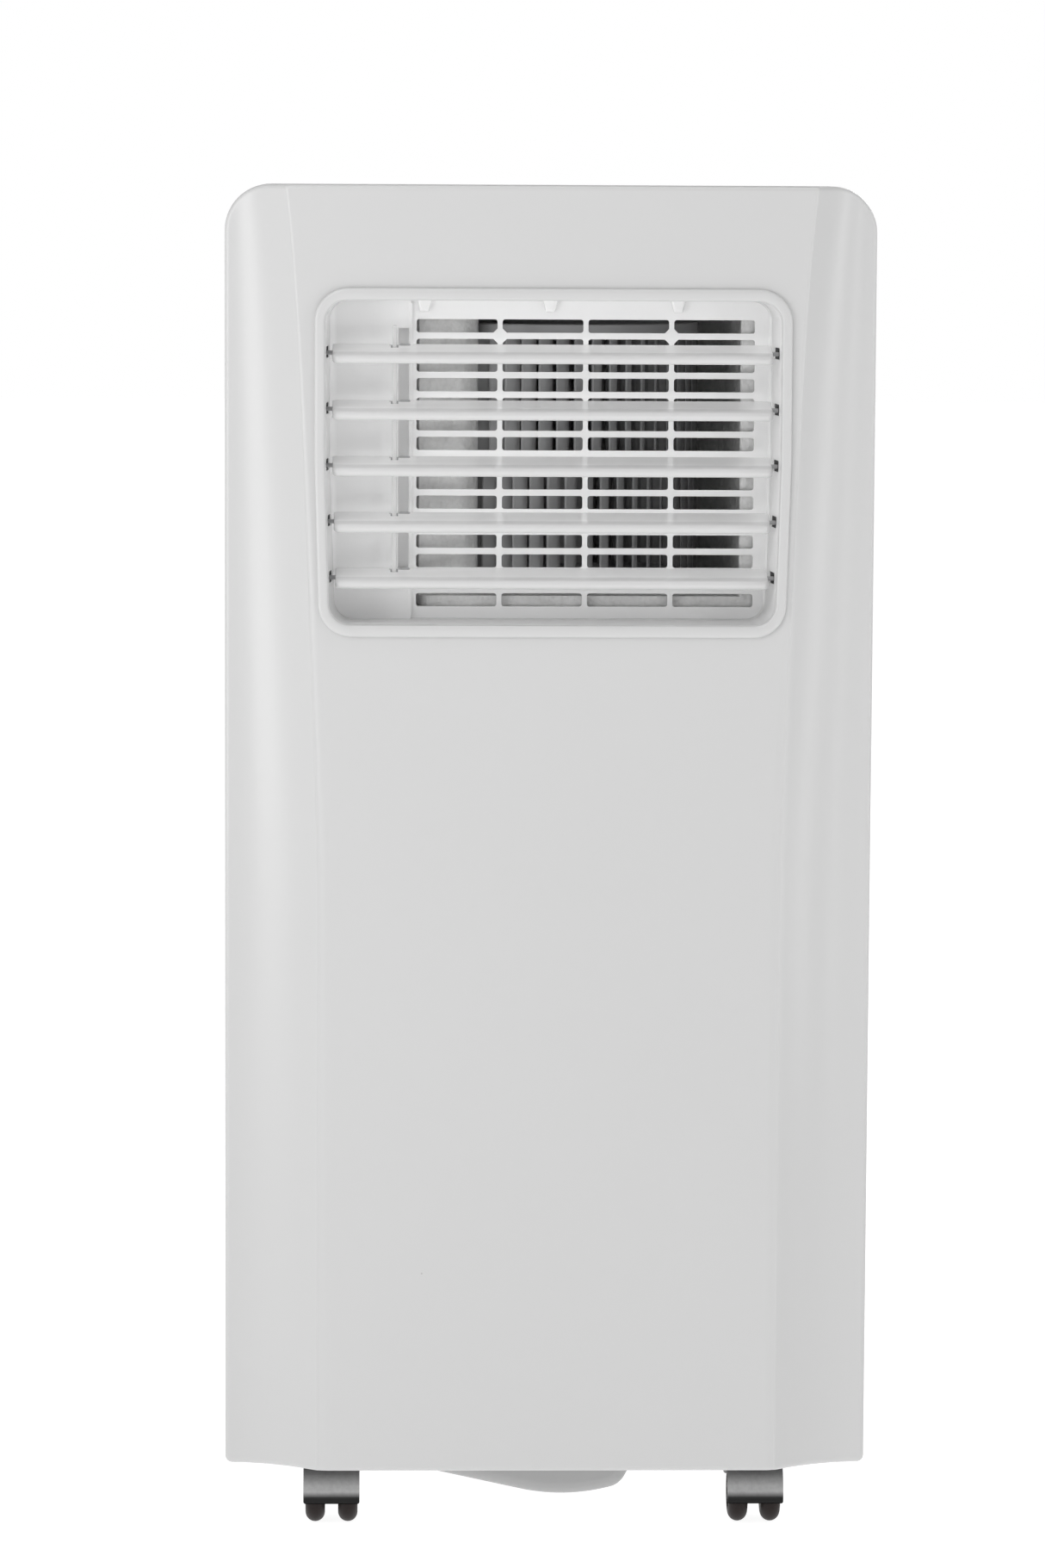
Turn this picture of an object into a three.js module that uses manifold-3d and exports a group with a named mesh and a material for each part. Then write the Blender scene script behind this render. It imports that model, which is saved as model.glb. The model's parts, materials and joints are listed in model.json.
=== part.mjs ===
// A free-standing portable air conditioner, in millimetres.
// +Z is up, the front faces -Y, and the origin is on the floor under the middle of the bounding box.
import * as THREE from 'three';
import { mergeVertices } from 'three/addons/utils/BufferGeometryUtils.js';
import Module from 'manifold-3d';

const wasm = await Module();
wasm.setup();

// ---------------------------------------------------------------- driving dimensions
const HALF_WIDTH = 165; // of the front panel, the widest piece
const TOP_Z = 695;
const SKIRT_Z = 38.6; // lower edge of the casing
const FRONT_Y = -146.5; // plane of the flat front face
const REAR_Y = 136.5; // outer face of the rear wall
const SEAM_Y = FRONT_Y + 40; // where the front panel meets the rear casing
const WALL = 2.5; // moulded casing wall
const GAP = 0.3; // between two pieces that meet
const CORNER_R = 24; // upper corners, seen from the front
const REAR_R = 22; // rear upright corners, seen from above

// Wings: the two side strips of the front panel, swept back from a ridge.
const WING_DEPTH = 20;
const WING_POWER = 2.05; // a higher power leaves the ridge more steeply
const RIDGE_LOW_X = 117;
const RIDGE_FLARE_Z = 350; // the ridges start to spread above this height

// Air outlet: bezel, recess, safety grille and louvres.
const BEZEL = { x: 0.8, top: 643.5, bottom: 467.8, half: 120.2, halfLow: 117.9, bendZ: 556, r: 17 };
const BEZEL_WIDTH = 6.1;
const BEZEL_PROUD = 2.5;
const RECESS_DEPTH = 34; // front face to the grille
const GRILLE = { left: -71.9, slotX: -67.8, slotZ: 627, slotW: 41.05, slotH: 6.75, columns: 4, rows: 15 };
const GRILLE_PITCH_X = 43.65;
const GRILLE_PITCH_Z = 9.957;
const LOUVER = { topZ: 610.5, pitch: 28.4, count: 5, depth: 15, chord: 24, noseR: 2.3, thick: 1.8 };
const LOUVER_TILT = THREE.MathUtils.degToRad(13); // at rest, rear edge up
const LOUVER_END_GAP = 2.6;
const PIVOT_R = 2;
const CRANK_Y = 9.3; // behind the pivot, along the blade
const CRANK_R = 1.1;
const LINK = { x: -79, width: 3, depth: 3.4, above: 11.5, below: 4 };

// Blowers.
const EVAP = { x: 10, y: FRONT_Y + 120, r: 70, z0: 492, z1: 624, blades: 24 };
const COND = { x: 8.6, z: 132, r: 62, y0: FRONT_Y + 60, y1: FRONT_Y + 104, blades: 16 };
const BLADE_LEAN = -0.8; // outer edges lean towards the direction of rotation

// Exhaust, on the rear.
const EXHAUST = { x: 30, z: 335, r: 70, wall: 3, flangeR: 81, out: 12.5 };

// Casters.
const CASTER_X = 110.3;
const CASTER_Y = [FRONT_Y + 46, REAR_Y - 52]; // stem axes, front pair and rear pair
const CASTER = { wheelR: 15.5, wheelW: 10.2, spread: 17, trail: 9, hoodR: 19, hoodWall: 1.8, hoodW: 29.2 };

// Top cover and its controls.
const LID_Z = 652.4; // lower edge of the top cover
const LID_TOP = 692;
const HOUSING_HALF = 163.5;
const FASCIA = { half: 80, y0: SEAM_Y + 14, y1: SEAM_Y + 76, z0: 689, z1: 691.4 };
const BUTTON_X = [-66, -50, -34, 34, 50, 66];
const BUTTON = { capR: 5.6, flangeR: 7.2, z0: 685, flangeTop: 688.7, top: 692.4 };
const WINDOW = { half: 22, depth: 24, thick: 1.6 };

// ---------------------------------------------------------------- solids
const AXIS_X = new THREE.Vector3(1, 0, 0);
const AXIS_Y = new THREE.Vector3(0, 1, 0);
const AXIS_Z = new THREE.Vector3(0, 0, 1);

// The closed solid of a three.js geometry, with shared vertices merged and collapsed faces dropped.
function solidOf(geometry) {
  const bare = geometry.index ? geometry.toNonIndexed() : geometry.clone();
  bare.deleteAttribute('normal');
  bare.deleteAttribute('uv');
  const merged = mergeVertices(bare, 1e-4);
  const faces = [];
  for (let i = 0; i < merged.index.count; i += 3) {
    const [a, b, c] = merged.index.array.slice(i, i + 3);
    if (a !== b && b !== c && a !== c) faces.push([a, b, c]);
  }
  const build = (list) => new wasm.Manifold(new wasm.Mesh({
    numProp: 3,
    vertProperties: new Float32Array(merged.attributes.position.array),
    triVerts: new Uint32Array(list.flat()),
  }));
  const made = build(faces);
  return made.volume() < 0 ? build(faces.map(([a, b, c]) => [a, c, b])) : made;
}

function geometryOf(solid) {
  const mesh = solid.getMesh();
  const geometry = new THREE.BufferGeometry();
  geometry.setAttribute('position', new THREE.BufferAttribute(new Float32Array(mesh.vertProperties), 3));
  geometry.setIndex(new THREE.BufferAttribute(new Uint32Array(mesh.triVerts), 1));
  const flat = geometry.toNonIndexed();
  flat.computeVertexNormals();
  return flat;
}

const join = (first, ...others) => others.reduce((sum, s) => sum.add(s), first);
const cut = (first, ...others) => others.reduce((left, s) => left.subtract(s), first);

function box(x0, x1, y0, y1, z0, z1) {
  const geometry = new THREE.BoxGeometry(x1 - x0, y1 - y0, z1 - z0);
  geometry.translate((x0 + x1) / 2, (y0 + y1) / 2, (z0 + z1) / 2);
  return solidOf(geometry);
}

function extruded(shape, depth, curveSegments = 4) {
  return new THREE.ExtrudeGeometry(shape, { depth, bevelEnabled: false, curveSegments });
}

// A shape in (x, y), from z0 up to z1.
function prismZ(shape, z0, z1, segments) {
  return solidOf(extruded(shape, z1 - z0, segments).translate(0, 0, z0));
}

// A shape in (x, z), from y0 back to y1.
function prismY(shape, y0, y1, segments) {
  return solidOf(extruded(shape, y1 - y0, segments).rotateX(Math.PI / 2).translate(0, y1, 0));
}

// A shape in (y, z), from x0 to x1.
function prismX(shape, x0, x1, segments) {
  const turn = new THREE.Matrix4().makeBasis(AXIS_Y, AXIS_Z, AXIS_X);
  return solidOf(extruded(shape, x1 - x0, segments).applyMatrix4(turn).translate(x0, 0, 0));
}

// A profile of [radius, height] pairs turned round the Z axis.
function turned(profile, segments = 16) {
  const points = profile.map(([r, h]) => new THREE.Vector2(r, h));
  return solidOf(new THREE.LatheGeometry(points, segments).rotateX(Math.PI / 2));
}

// A cylinder between two heights on Z, then laid along the axis asked for and moved to (a, b).
function rod(axis, a, b, from, to, r, segments = 12) {
  const geometry = new THREE.CylinderGeometry(r, r, to - from, segments);
  geometry.translate(0, (from + to) / 2, 0);
  if (axis === 'x') geometry.rotateZ(-Math.PI / 2).translate(0, a, b);
  if (axis === 'y') geometry.translate(a, 0, b);
  if (axis === 'z') geometry.rotateX(Math.PI / 2).translate(a, b, 0);
  return solidOf(geometry);
}

function polygon(points) {
  return new THREE.Shape(points.map(([x, y]) => new THREE.Vector2(x, y)));
}

// A closed outline whose corners [x, y, radius] are rounded by tangent curves.
function rounded(corners) {
  const shape = new THREE.Shape();
  corners.forEach(([x, y, r], i) => {
    const corner = new THREE.Vector2(x, y);
    const [beforeX, beforeY] = corners.at(i - 1);
    const [afterX, afterY] = corners[(i + 1) % corners.length];
    const before = new THREE.Vector2(beforeX, beforeY).sub(corner).normalize();
    const after = new THREE.Vector2(afterX, afterY).sub(corner).normalize();
    const angle = Math.acos(THREE.MathUtils.clamp(before.dot(after), -1, 1));
    const reach = r / Math.tan(angle / 2);
    const start = corner.clone().addScaledVector(before, reach);
    const end = corner.clone().addScaledVector(after, reach);
    if (i === 0) shape.moveTo(start.x, start.y);
    else shape.lineTo(start.x, start.y);
    if (r > 0) {
      const bulge = (4 / 3) * Math.tan((Math.PI - angle) / 4) * r;
      shape.bezierCurveTo(
        start.x - before.x * bulge, start.y - before.y * bulge,
        end.x - after.x * bulge, end.y - after.y * bulge, end.x, end.y);
    }
  });
  shape.closePath();
  return shape;
}

const rectangle = (x0, x1, y0, y1, r = 0) => rounded([
  [x0, y0, r], [x1, y0, r], [x1, y1, r], [x0, y1, r],
]);

// A tube of circular section along a smooth curve through the points.
function pipe(points, r, steps) {
  const stations = points.map((p) => new THREE.Vector3(...p));
  const curve = new THREE.CatmullRomCurve3(stations, false, 'catmullrom', 0.3);
  const section = new THREE.Shape().absarc(0, 0, r, 0, Math.PI * 2);
  return solidOf(new THREE.ExtrudeGeometry(section, { steps, curveSegments: 4, extrudePath: curve }));
}

// ---------------------------------------------------------------- materials
function finish(color, roughness, metalness = 0) {
  return new THREE.MeshStandardMaterial({ color, roughness, metalness });
}

const materials = {
  casing: finish(0xe9eaeb, 0.38),
  gloss: finish(0xececec, 0.25),
  foam: finish(0xd6d6d4, 0.9),
  dark: finish(0x3a3b3d, 0.45),
  fanGrey: finish(0x7c7d7f, 0.5),
  black: finish(0x111214, 0.15),
  key: finish(0xdedfe0, 0.35),
  hood: finish(0x6f7072, 0.35, 0.3),
  wheel: finish(0x1d1917, 0.55),
  steel: finish(0x9b9da0, 0.35, 1),
  blackSteel: finish(0x1b1c1d, 0.4, 0.4),
  fins: finish(0xb9bdc1, 0.35, 1),
  copper: finish(0xb87345, 0.3, 1),
  board: finish(0x2f5a3c, 0.6),
  rubber: finish(0x202020, 0.8),
};

const unit = new THREE.Group();

function add(name, solid, material, parent = unit) {
  const mesh = new THREE.Mesh(geometryOf(solid), materials[material]);
  mesh.name = name;
  parent.add(mesh);
  return mesh;
}

// ---------------------------------------------------------------- casing
// Half the distance between the two ridges at a height.
function ridgeX(z) {
  const t = THREE.MathUtils.clamp((z - RIDGE_FLARE_Z) / (TOP_Z - RIDGE_FLARE_Z), 0, 1);
  return RIDGE_LOW_X + 13.5 * t ** 1.1 + 3.5 * t ** 9;
}

// The front panel's outer form, or its hollow when inset by the wall.
// The plan is drawn with |x| up to 1 for the flat face and 1 to 2 for a wing, then spread at each height.
function frontForm(inset) {
  const right = [[0.985, 0]];
  for (const s of [0.04, 0.14, 0.3, 0.5, 0.72, 0.9]) {
    right.push([1 + s, WING_DEPTH * (1 - (1 - s) ** WING_POWER)]);
  }
  right.push([1.97, WING_DEPTH + 1.2], [2, WING_DEPTH + 4.5], [2, SEAM_Y - FRONT_Y + inset * 4]);
  const left = right.map(([x, y]) => [-x, y]).reverse();
  const plan = [...left, ...right];
  const levels = [SKIRT_Z - inset * 4, RIDGE_FLARE_Z, 430, 500, 560, 610, 645, 672, TOP_Z];
  const steps = levels.length - 1;
  const geometry = new THREE.ExtrudeGeometry(polygon(plan), { depth: steps, steps, bevelEnabled: false });
  const position = geometry.attributes.position;
  for (let i = 0; i < position.count; i += 1) {
    const z = levels[Math.round(position.getZ(i))];
    const u = Math.abs(position.getX(i));
    const ridge = ridgeX(z) - inset / 2;
    const x = u <= 1 ? u * ridge : ridge + (u - 1) * (HALF_WIDTH - inset - ridge);
    const side = Math.sign(position.getX(i));
    position.setXYZ(i, side * x, FRONT_Y + inset + position.getY(i), z);
  }
  const outline = rounded([
    [-HALF_WIDTH + inset, SKIRT_Z - inset * 4, 3], [HALF_WIDTH - inset, SKIRT_Z - inset * 4, 3],
    [HALF_WIDTH - inset, TOP_Z - inset, CORNER_R - inset],
    [-HALF_WIDTH + inset, TOP_Z - inset, CORNER_R - inset],
  ]);
  return solidOf(geometry).intersect(prismY(outline, FRONT_Y - 1, SEAM_Y + 20, 5));
}

// The bezel's outline, or one inset from it all round.
function bezelOutline(inset) {
  const { x, top, bottom, half, halfLow, bendZ, r } = BEZEL;
  const side = half - inset;
  const low = halfLow - inset;
  return rounded([
    [x - low, bottom + inset, r + 1 - inset], [x + low, bottom + inset, r + 1 - inset],
    [x + side, bendZ, 0], [x + side, top - inset, r - inset],
    [x - side, top - inset, r - inset], [x - side, bendZ, 0],
  ]);
}

function frontPanel() {
  const opening = prismY(bezelOutline(3), FRONT_Y - 5, FRONT_Y + 10, 4);
  return cut(frontForm(0), frontForm(WALL), opening);
}

// The rear casing and the top cover share this plan, with its two rear corners rounded.
const casingPlan = (inset, frontInset = 0) => rounded([
  [-HOUSING_HALF + inset, SEAM_Y + 0.4 - frontInset, 0], [HOUSING_HALF - inset, SEAM_Y + 0.4 - frontInset, 0],
  [HOUSING_HALF - inset, REAR_Y - inset, REAR_R - inset],
  [-HOUSING_HALF + inset, REAR_Y - inset, REAR_R - inset],
]);

const HANDLE = { y0: -45, y1: 55, z0: 556, z1: 590, depth: 22 };
const FILTER_UPPER = { half: 122, z0: 432, z1: 636 };
const FILTER_LOWER = { half: 122, z0: 78, z1: 238 };
const DRAIN = { r: 9, x: -120, upperZ: 300, lowerZ: 58 };
const GLAND = { x: -128, z: 268, r: 7 };
const SIDE_SLOTS = { count: 8, z: 100, pitch: 18, height: 8, y0: 20, y1: 100 };

function rearHousing() {
  const shell = cut(
    prismZ(casingPlan(0), SKIRT_Z + 0.8, LID_Z - 0.4),
    prismZ(casingPlan(WALL, 5), SKIRT_Z - 5, LID_Z + 5));
  const handles = [-1, 1].map((side) => {
    const near = side * (HOUSING_HALF - 6);
    const far = side * (HOUSING_HALF + 6);
    return box(Math.min(near, far), Math.max(near, far), HANDLE.y0, HANDLE.y1, HANDLE.z0, HANDLE.z1);
  });
  const windows = [FILTER_UPPER, FILTER_LOWER].map((f) =>
    prismY(rectangle(-f.half, f.half, f.z0, f.z1, 6), REAR_Y - 6, REAR_Y + 6, 2));
  const holes = [
    rod('y', EXHAUST.x, EXHAUST.z, REAR_Y - 6, REAR_Y + 6, EXHAUST.r + EXHAUST.wall + 2 * GAP, 24),
    rod('y', DRAIN.x, DRAIN.upperZ, REAR_Y - 6, REAR_Y + 6, DRAIN.r, 12),
    rod('y', DRAIN.x, DRAIN.lowerZ, REAR_Y - 6, REAR_Y + 6, DRAIN.r, 12),
    rod('y', GLAND.x, GLAND.z, REAR_Y - 6, REAR_Y + 6, GLAND.r, 12),
  ];
  // Condenser air also enters through a column of slots low on each side.
  const slots = [];
  const { count, pitch, height, y0, y1 } = SIDE_SLOTS;
  for (let i = 0; i < count; i += 1) {
    const z = SIDE_SLOTS.z + i * pitch;
    slots.push(box(-HOUSING_HALF - 5, HOUSING_HALF + 5, y0, y1, z, z + height));
  }
  return cut(shell, ...handles, ...windows, ...holes, ...slots);
}

function topCover() {
  const section = (inset) => rounded([
    [-HOUSING_HALF + inset, LID_Z - inset * 3, 0], [HOUSING_HALF - inset, LID_Z - inset * 3, 0],
    [HOUSING_HALF - inset, LID_TOP - inset, CORNER_R - inset],
    [-HOUSING_HALF + inset, LID_TOP - inset, CORNER_R - inset],
  ]);
  const outer = prismZ(casingPlan(0), LID_Z, LID_TOP).intersect(prismY(section(0), SEAM_Y, REAR_Y + 1, 5));
  const hollow = prismZ(casingPlan(WALL, 5), LID_Z - 5, LID_TOP)
    .intersect(prismY(section(WALL), SEAM_Y - 10, REAR_Y + 1, 5));
  const { half, y0, y1 } = FASCIA;
  const hatch = prismZ(rectangle(-half, half, y0, y1, 8), LID_TOP - 8, LID_TOP + 8, 3);
  return cut(outer, hollow, hatch);
}

const PAN = { z0: 42, z1: 66, wall: 3, inset: 7 };
const SUMP = { left: -104, right: 51, y0: FRONT_Y + 45, y1: FRONT_Y + 135, x: 8.6, z: 15.5, r: 75 };

// The sump bulges out of the floor under the condenser blower, shallow on the left and steep on the right.
function sumpForm(inset, topZ) {
  const { left, right, x, z, r } = SUMP;
  const low = z + inset;
  const shape = new THREE.Shape();
  shape.moveTo(left + inset * 2, topZ);
  shape.lineTo(left + inset * 2, PAN.z0 + inset / 2 - 3);
  shape.lineTo(x - 30, low + 6.2);
  shape.quadraticCurveTo(x - 14, low, x + 2, low);
  shape.quadraticCurveTo(x + 20, low + 0.3, x + 28.7 - inset / 2, low + (28.7 ** 2) / (2 * r));
  shape.lineTo(right - inset, PAN.z0 - 2);
  shape.lineTo(right - inset, topZ);
  shape.closePath();
  return prismY(shape, SUMP.y0 + inset, SUMP.y1 - inset, 4);
}

function basePan() {
  const edge = HALF_WIDTH - PAN.inset;
  const plan = (inset) => rounded([
    [-RIDGE_LOW_X + 6 + inset / 2, FRONT_Y + 6 + inset, 4],
    [RIDGE_LOW_X - 6 - inset / 2, FRONT_Y + 6 + inset, 4],
    [edge - inset, FRONT_Y + 33 + inset / 2, 4], [edge - inset, REAR_Y - 5 - inset, 16],
    [-edge + inset, REAR_Y - 5 - inset, 16], [-edge + inset, FRONT_Y + 33 + inset / 2, 4],
  ]);
  const tray = cut(
    prismZ(plan(0), PAN.z0, PAN.z1, 2),
    prismZ(plan(PAN.wall), PAN.z0 + PAN.wall, PAN.z1 + 5, 2));
  const bosses = [];
  const sockets = [];
  for (const x of [-CASTER_X, CASTER_X]) {
    for (const y of CASTER_Y) {
      bosses.push(rod('z', x, y, PAN.z0 - 3.5, PAN.z1 - 2, 11, 12));
      sockets.push(rod('z', x, y, PAN.z0 - 8, PAN.z1 - 5, 4.3, 12));
    }
  }
  const drain = rod('y', DRAIN.x, DRAIN.lowerZ, REAR_Y - 14, REAR_Y, 6.2, 12);
  const body = join(tray, ...bosses, sumpForm(0, PAN.z0 + 2));
  return cut(body, ...sockets, sumpForm(PAN.wall, PAN.z1 + 5), drain);
}

// ---------------------------------------------------------------- air outlet
function louverPivotZ(i) {
  return LOUVER.topZ - i * LOUVER.pitch;
}

function recessHalf(z) {
  const { bendZ, half, halfLow, bottom } = BEZEL;
  const slant = z < bendZ ? ((half - halfLow) * (bendZ - z)) / (bendZ - bottom) : 0;
  return half - slant - BEZEL_WIDTH;
}

function outletFrame() {
  const back = FRONT_Y + RECESS_DEPTH;
  const bead = prismY(bezelOutline(0), FRONT_Y - BEZEL_PROUD, FRONT_Y - GAP);
  const sleeve = prismY(bezelOutline(3.4), FRONT_Y - 1, back + 4);
  const bore = prismY(bezelOutline(BEZEL_WIDTH), FRONT_Y - 6, back + 10);
  // The recess is blind on the left of the grille, with an upright channel for the link.
  const blind = prismY(bezelOutline(4), back - 1, back + 4)
    .intersect(box(-HALF_WIDTH, GRILLE.left - GAP, back - 2, back + 5, 0, TOP_Z));
  const channel = box(LINK.x + 1.8, GRILLE.left - 1.6, back - 3, back + 2.4, 497, 622);
  const pivots = [];
  for (let i = 0; i < LOUVER.count; i += 1) {
    const z = louverPivotZ(i);
    const slot = rectangle(FRONT_Y + LOUVER.depth - 2.4, FRONT_Y + LOUVER.depth + 2.4, z - 3, z + 3, 2.2);
    pivots.push(prismX(slot, -HALF_WIDTH, HALF_WIDTH, 2));
  }
  return cut(join(cut(join(bead, sleeve), bore), blind), channel, ...pivots);
}

function outletGrille() {
  const front = FRONT_Y + RECESS_DEPTH;
  const { left, slotX, slotZ, slotW, slotH, columns, rows } = GRILLE;
  const area = prismY(bezelOutline(BEZEL_WIDTH + GAP), front - 3, front + 2.6);
  const plate = area.intersect(box(left, HALF_WIDTH, front, front + 5, 0, TOP_Z));
  const ledge = area.intersect(box(left, left + 2, front - 1.8, front + 1, 0, TOP_Z));
  const hooks = [-64, 0, 65].map((x) => box(x - 2.6, x + 2.6, front - 2.6, front + 1, 632.4, 635.2));
  const slots = [];
  for (let row = 0; row < rows; row += 1) {
    for (let column = 0; column < columns; column += 1) {
      const x = slotX + column * GRILLE_PITCH_X;
      const z = slotZ - row * GRILLE_PITCH_Z;
      slots.push(box(x, x + slotW, front - 5, front + 5, z - slotH, z));
    }
  }
  return cut(join(plate, ledge, ...hooks), ...slots);
}

// A blade about its pivot on X: a round nose in front, thin behind, notched for the link and its crank pin.
function louver(half) {
  const { chord, noseR, thick } = LOUVER;
  const front = -chord / 2;
  const section = new THREE.Shape();
  section.moveTo(chord / 2, -thick / 2);
  section.lineTo(chord / 2, thick / 2);
  section.lineTo(front + noseR, noseR);
  section.absarc(front + noseR, 0, noseR, Math.PI / 2, (3 * Math.PI) / 2);
  section.closePath();
  const plan = rounded([
    [-half, front, 3.2], [half, front, 3.2], [half, chord / 2, 1], [-half, chord / 2, 1],
  ]);
  const blade = prismX(section, -half, half, 4).intersect(prismZ(plan, -5, 5, 2));
  const pins = [-1, 1].map((side) => {
    const root = side * (half - 6);
    const tip = side * (half + LOUVER_END_GAP + 2.4);
    return rod('x', 0, 0, Math.min(root, tip), Math.max(root, tip), PIVOT_R, 10);
  });
  const notchHalf = LINK.width / 2 + 0.7;
  const linkX = LINK.x - BEZEL.x;
  const notch = box(linkX - notchHalf, linkX + notchHalf, CRANK_Y - 4.4, chord / 2 + 1, -4, 4);
  const crank = rod('x', CRANK_Y, 0, linkX - notchHalf - 1, linkX + notchHalf + 1, CRANK_R, 8);
  return join(cut(join(blade, ...pins), notch), crank);
}

// The upright link, about the crank pin of the middle louvre.
function louverLink() {
  const { x, width, depth, above, below } = LINK;
  const reach = 2 * LOUVER.pitch;
  const bar = box(x - width / 2, x + width / 2, -depth / 2, depth / 2, -reach - below, reach + above);
  const eyes = [];
  for (let i = 0; i < LOUVER.count; i += 1) {
    eyes.push(rod('x', 0, (i - 2) * LOUVER.pitch, x - 5, x + 5, CRANK_R + 0.25, 8));
  }
  return cut(bar, ...eyes);
}

function addLouvers() {
  for (let i = 0; i < LOUVER.count; i += 1) {
    const z = louverPivotZ(i);
    const half = recessHalf(z) - LOUVER_END_GAP;
    const mesh = add(`louver_${i + 1}`, louver(half), 'gloss');
    mesh.position.set(BEZEL.x, FRONT_Y + LOUVER.depth, z);
    mesh.rotation.x = LOUVER_TILT;
  }
  const link = add('louver_link', louverLink(), 'gloss');
  link.position.set(
    0,
    FRONT_Y + LOUVER.depth + CRANK_Y * Math.cos(LOUVER_TILT),
    louverPivotZ(2) + CRANK_Y * Math.sin(LOUVER_TILT));
}

// ---------------------------------------------------------------- blowers
// A squirrel-cage wheel on Z from 0 to height: a back disc with a hub, leaning blades and an open ring.
function cageWheel(r, height, blades, hubR) {
  const depth = r * 0.17;
  const hubTop = height * 0.42;
  const hub = turned([[2.6, 0.5], [hubR, 0.5], [hubR * 0.75, hubTop], [2.6, hubTop], [2.6, 0.5]], 12);
  const disc = cut(rod('z', 0, 0, 0, 2.4, r, 32), rod('z', 0, 0, -1, 4, hubR - 2, 12));
  const ring = cut(
    rod('z', 0, 0, height - 5.5, height, r, 32),
    rod('z', 0, 0, height - 8, height + 5, r - depth, 32));
  const parts = [hub, ring];
  for (let i = 0; i < blades; i += 1) {
    const blade = new THREE.BoxGeometry(depth * 1.02, 1.1, height - 3.4);
    blade.rotateZ(BLADE_LEAN).translate(r - depth * 0.5, 0, height / 2 - 0.4);
    blade.rotateZ((i * 2 * Math.PI) / blades);
    parts.push(solidOf(blade));
  }
  return join(disc, ...parts);
}

// A volute in plan: the radius grows with the angle from the tongue.
function spiral(x, y, start, growth, from, to, steps) {
  const points = [];
  for (let i = 0; i <= steps; i += 1) {
    const turn = from + ((to - from) * i) / steps;
    const r = start + (growth * i) / steps;
    points.push([x + r * Math.cos(turn), y + r * Math.sin(turn)]);
  }
  return points;
}

const SCROLL = { x0: -71, x1: 119, y0: FRONT_Y + RECESS_DEPTH + 4.6, y1: FRONT_Y + 208, z0: 478, z1: 640 };
const SCROLL_TONGUE_X = -36;
const SCROLL_OUT_X = 99;

function evapScroll() {
  const { x0, x1, y0, y1, z0, z1 } = SCROLL;
  const path = spiral(EVAP.x, EVAP.y, 76, 12, Math.PI * 1.27, 0, 14);
  const outline = [
    [SCROLL_TONGUE_X, EVAP.y - 62], [SCROLL_TONGUE_X, y0 + 6], [GRILLE.slotX + 2, y0 - 1],
    [105, y0 - 1], [SCROLL_OUT_X, y0 + 8], ...path.reverse()];
  const cavity = prismZ(polygon(outline), EVAP.z0 - 6, EVAP.z1 + 4);
  const block = prismZ(rectangle(x0, x1, y0, y1, 12), z0, z1, 3);
  const mouth = rod('z', EVAP.x, EVAP.y, EVAP.z1, z1 + 5, 56, 24);
  const shaftHole = rod('z', EVAP.x, EVAP.y, z0 - 5, EVAP.z0, 9, 12);
  return cut(block, cavity, mouth, shaftHole);
}

function evapInletRing() {
  const { x, y } = EVAP;
  const top = SCROLL.z1;
  const profile = [
    [50, top + 0.4], [62, top + 0.4], [62, top + 2.6], [53, top + 4], [50, top + 4], [50, top + 0.4]];
  return turned(profile, 24).translate([x, y, 0]);
}

function fanMotor(z0, z1, r, shaftTop) {
  const profile = [
    [0, z0], [r * 0.7, z0], [r, z0 + 5], [r, z1 - 5], [r * 0.72, z1], [r * 0.25, z1],
    [r * 0.25, z1 + 2], [2.4, z1 + 2], [2.4, shaftTop], [0, shaftTop]];
  return turned(profile, 16);
}

function addEvaporatorBlower() {
  add('evap_scroll', evapScroll(), 'foam');
  add('evap_inlet_ring', evapInletRing(), 'foam');
  const wheel = add('evap_wheel', cageWheel(EVAP.r, EVAP.z1 - EVAP.z0, EVAP.blades, 16), 'fanGrey');
  wheel.position.set(EVAP.x, EVAP.y, EVAP.z0);
  const motor = add('evap_motor', fanMotor(0, 42, 34, 100), 'steel');
  motor.position.set(EVAP.x, EVAP.y, EVAP.z0 - 59);
}

function condScroll() {
  const { x, z, y0, y1 } = COND;
  const outletX0 = 30;
  const outletX1 = 99.6;
  const topZ = 261;
  const volute = (inset) => {
    const path = spiral(x, z, 69 - inset, 14, Math.PI * 0.42, Math.PI * 1.5, 11);
    const lower = spiral(x, z, 83 - inset, 8, Math.PI * 1.5, Math.PI * 2, 6).slice(1);
    return polygon([
      [outletX0 + inset, topZ + inset * 4], ...path, ...lower, [outletX1 - inset, topZ + inset * 4]]);
  };
  const shell = cut(prismY(volute(0), y0 - 7, y1 + 7), prismY(volute(WALL), y0 - 7 + WALL, y1 + 7 - WALL));
  const eye = rod('y', x, z, y1, y1 + 20, 46, 24);
  const motorHole = rod('y', x, z, y0 - 20, y0, 9, 12);
  return cut(shell, eye, motorHole);
}

function addCondenserBlower() {
  add('cond_scroll', condScroll(), 'casing');
  const { x, z, y0, y1 } = COND;
  // The wheel's back disc and motor are towards the front, and its open eye faces the coil behind.
  const assembly = new THREE.Group();
  assembly.position.set(x, y0, z);
  assembly.rotation.x = -Math.PI / 2;
  unit.add(assembly);
  add('cond_wheel', cageWheel(COND.r, y1 - y0, COND.blades, 15), 'dark', assembly);
  const motor = add('cond_motor', fanMotor(0, 36, 32, 60), 'steel', assembly);
  motor.position.z = -46.5;
}

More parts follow.
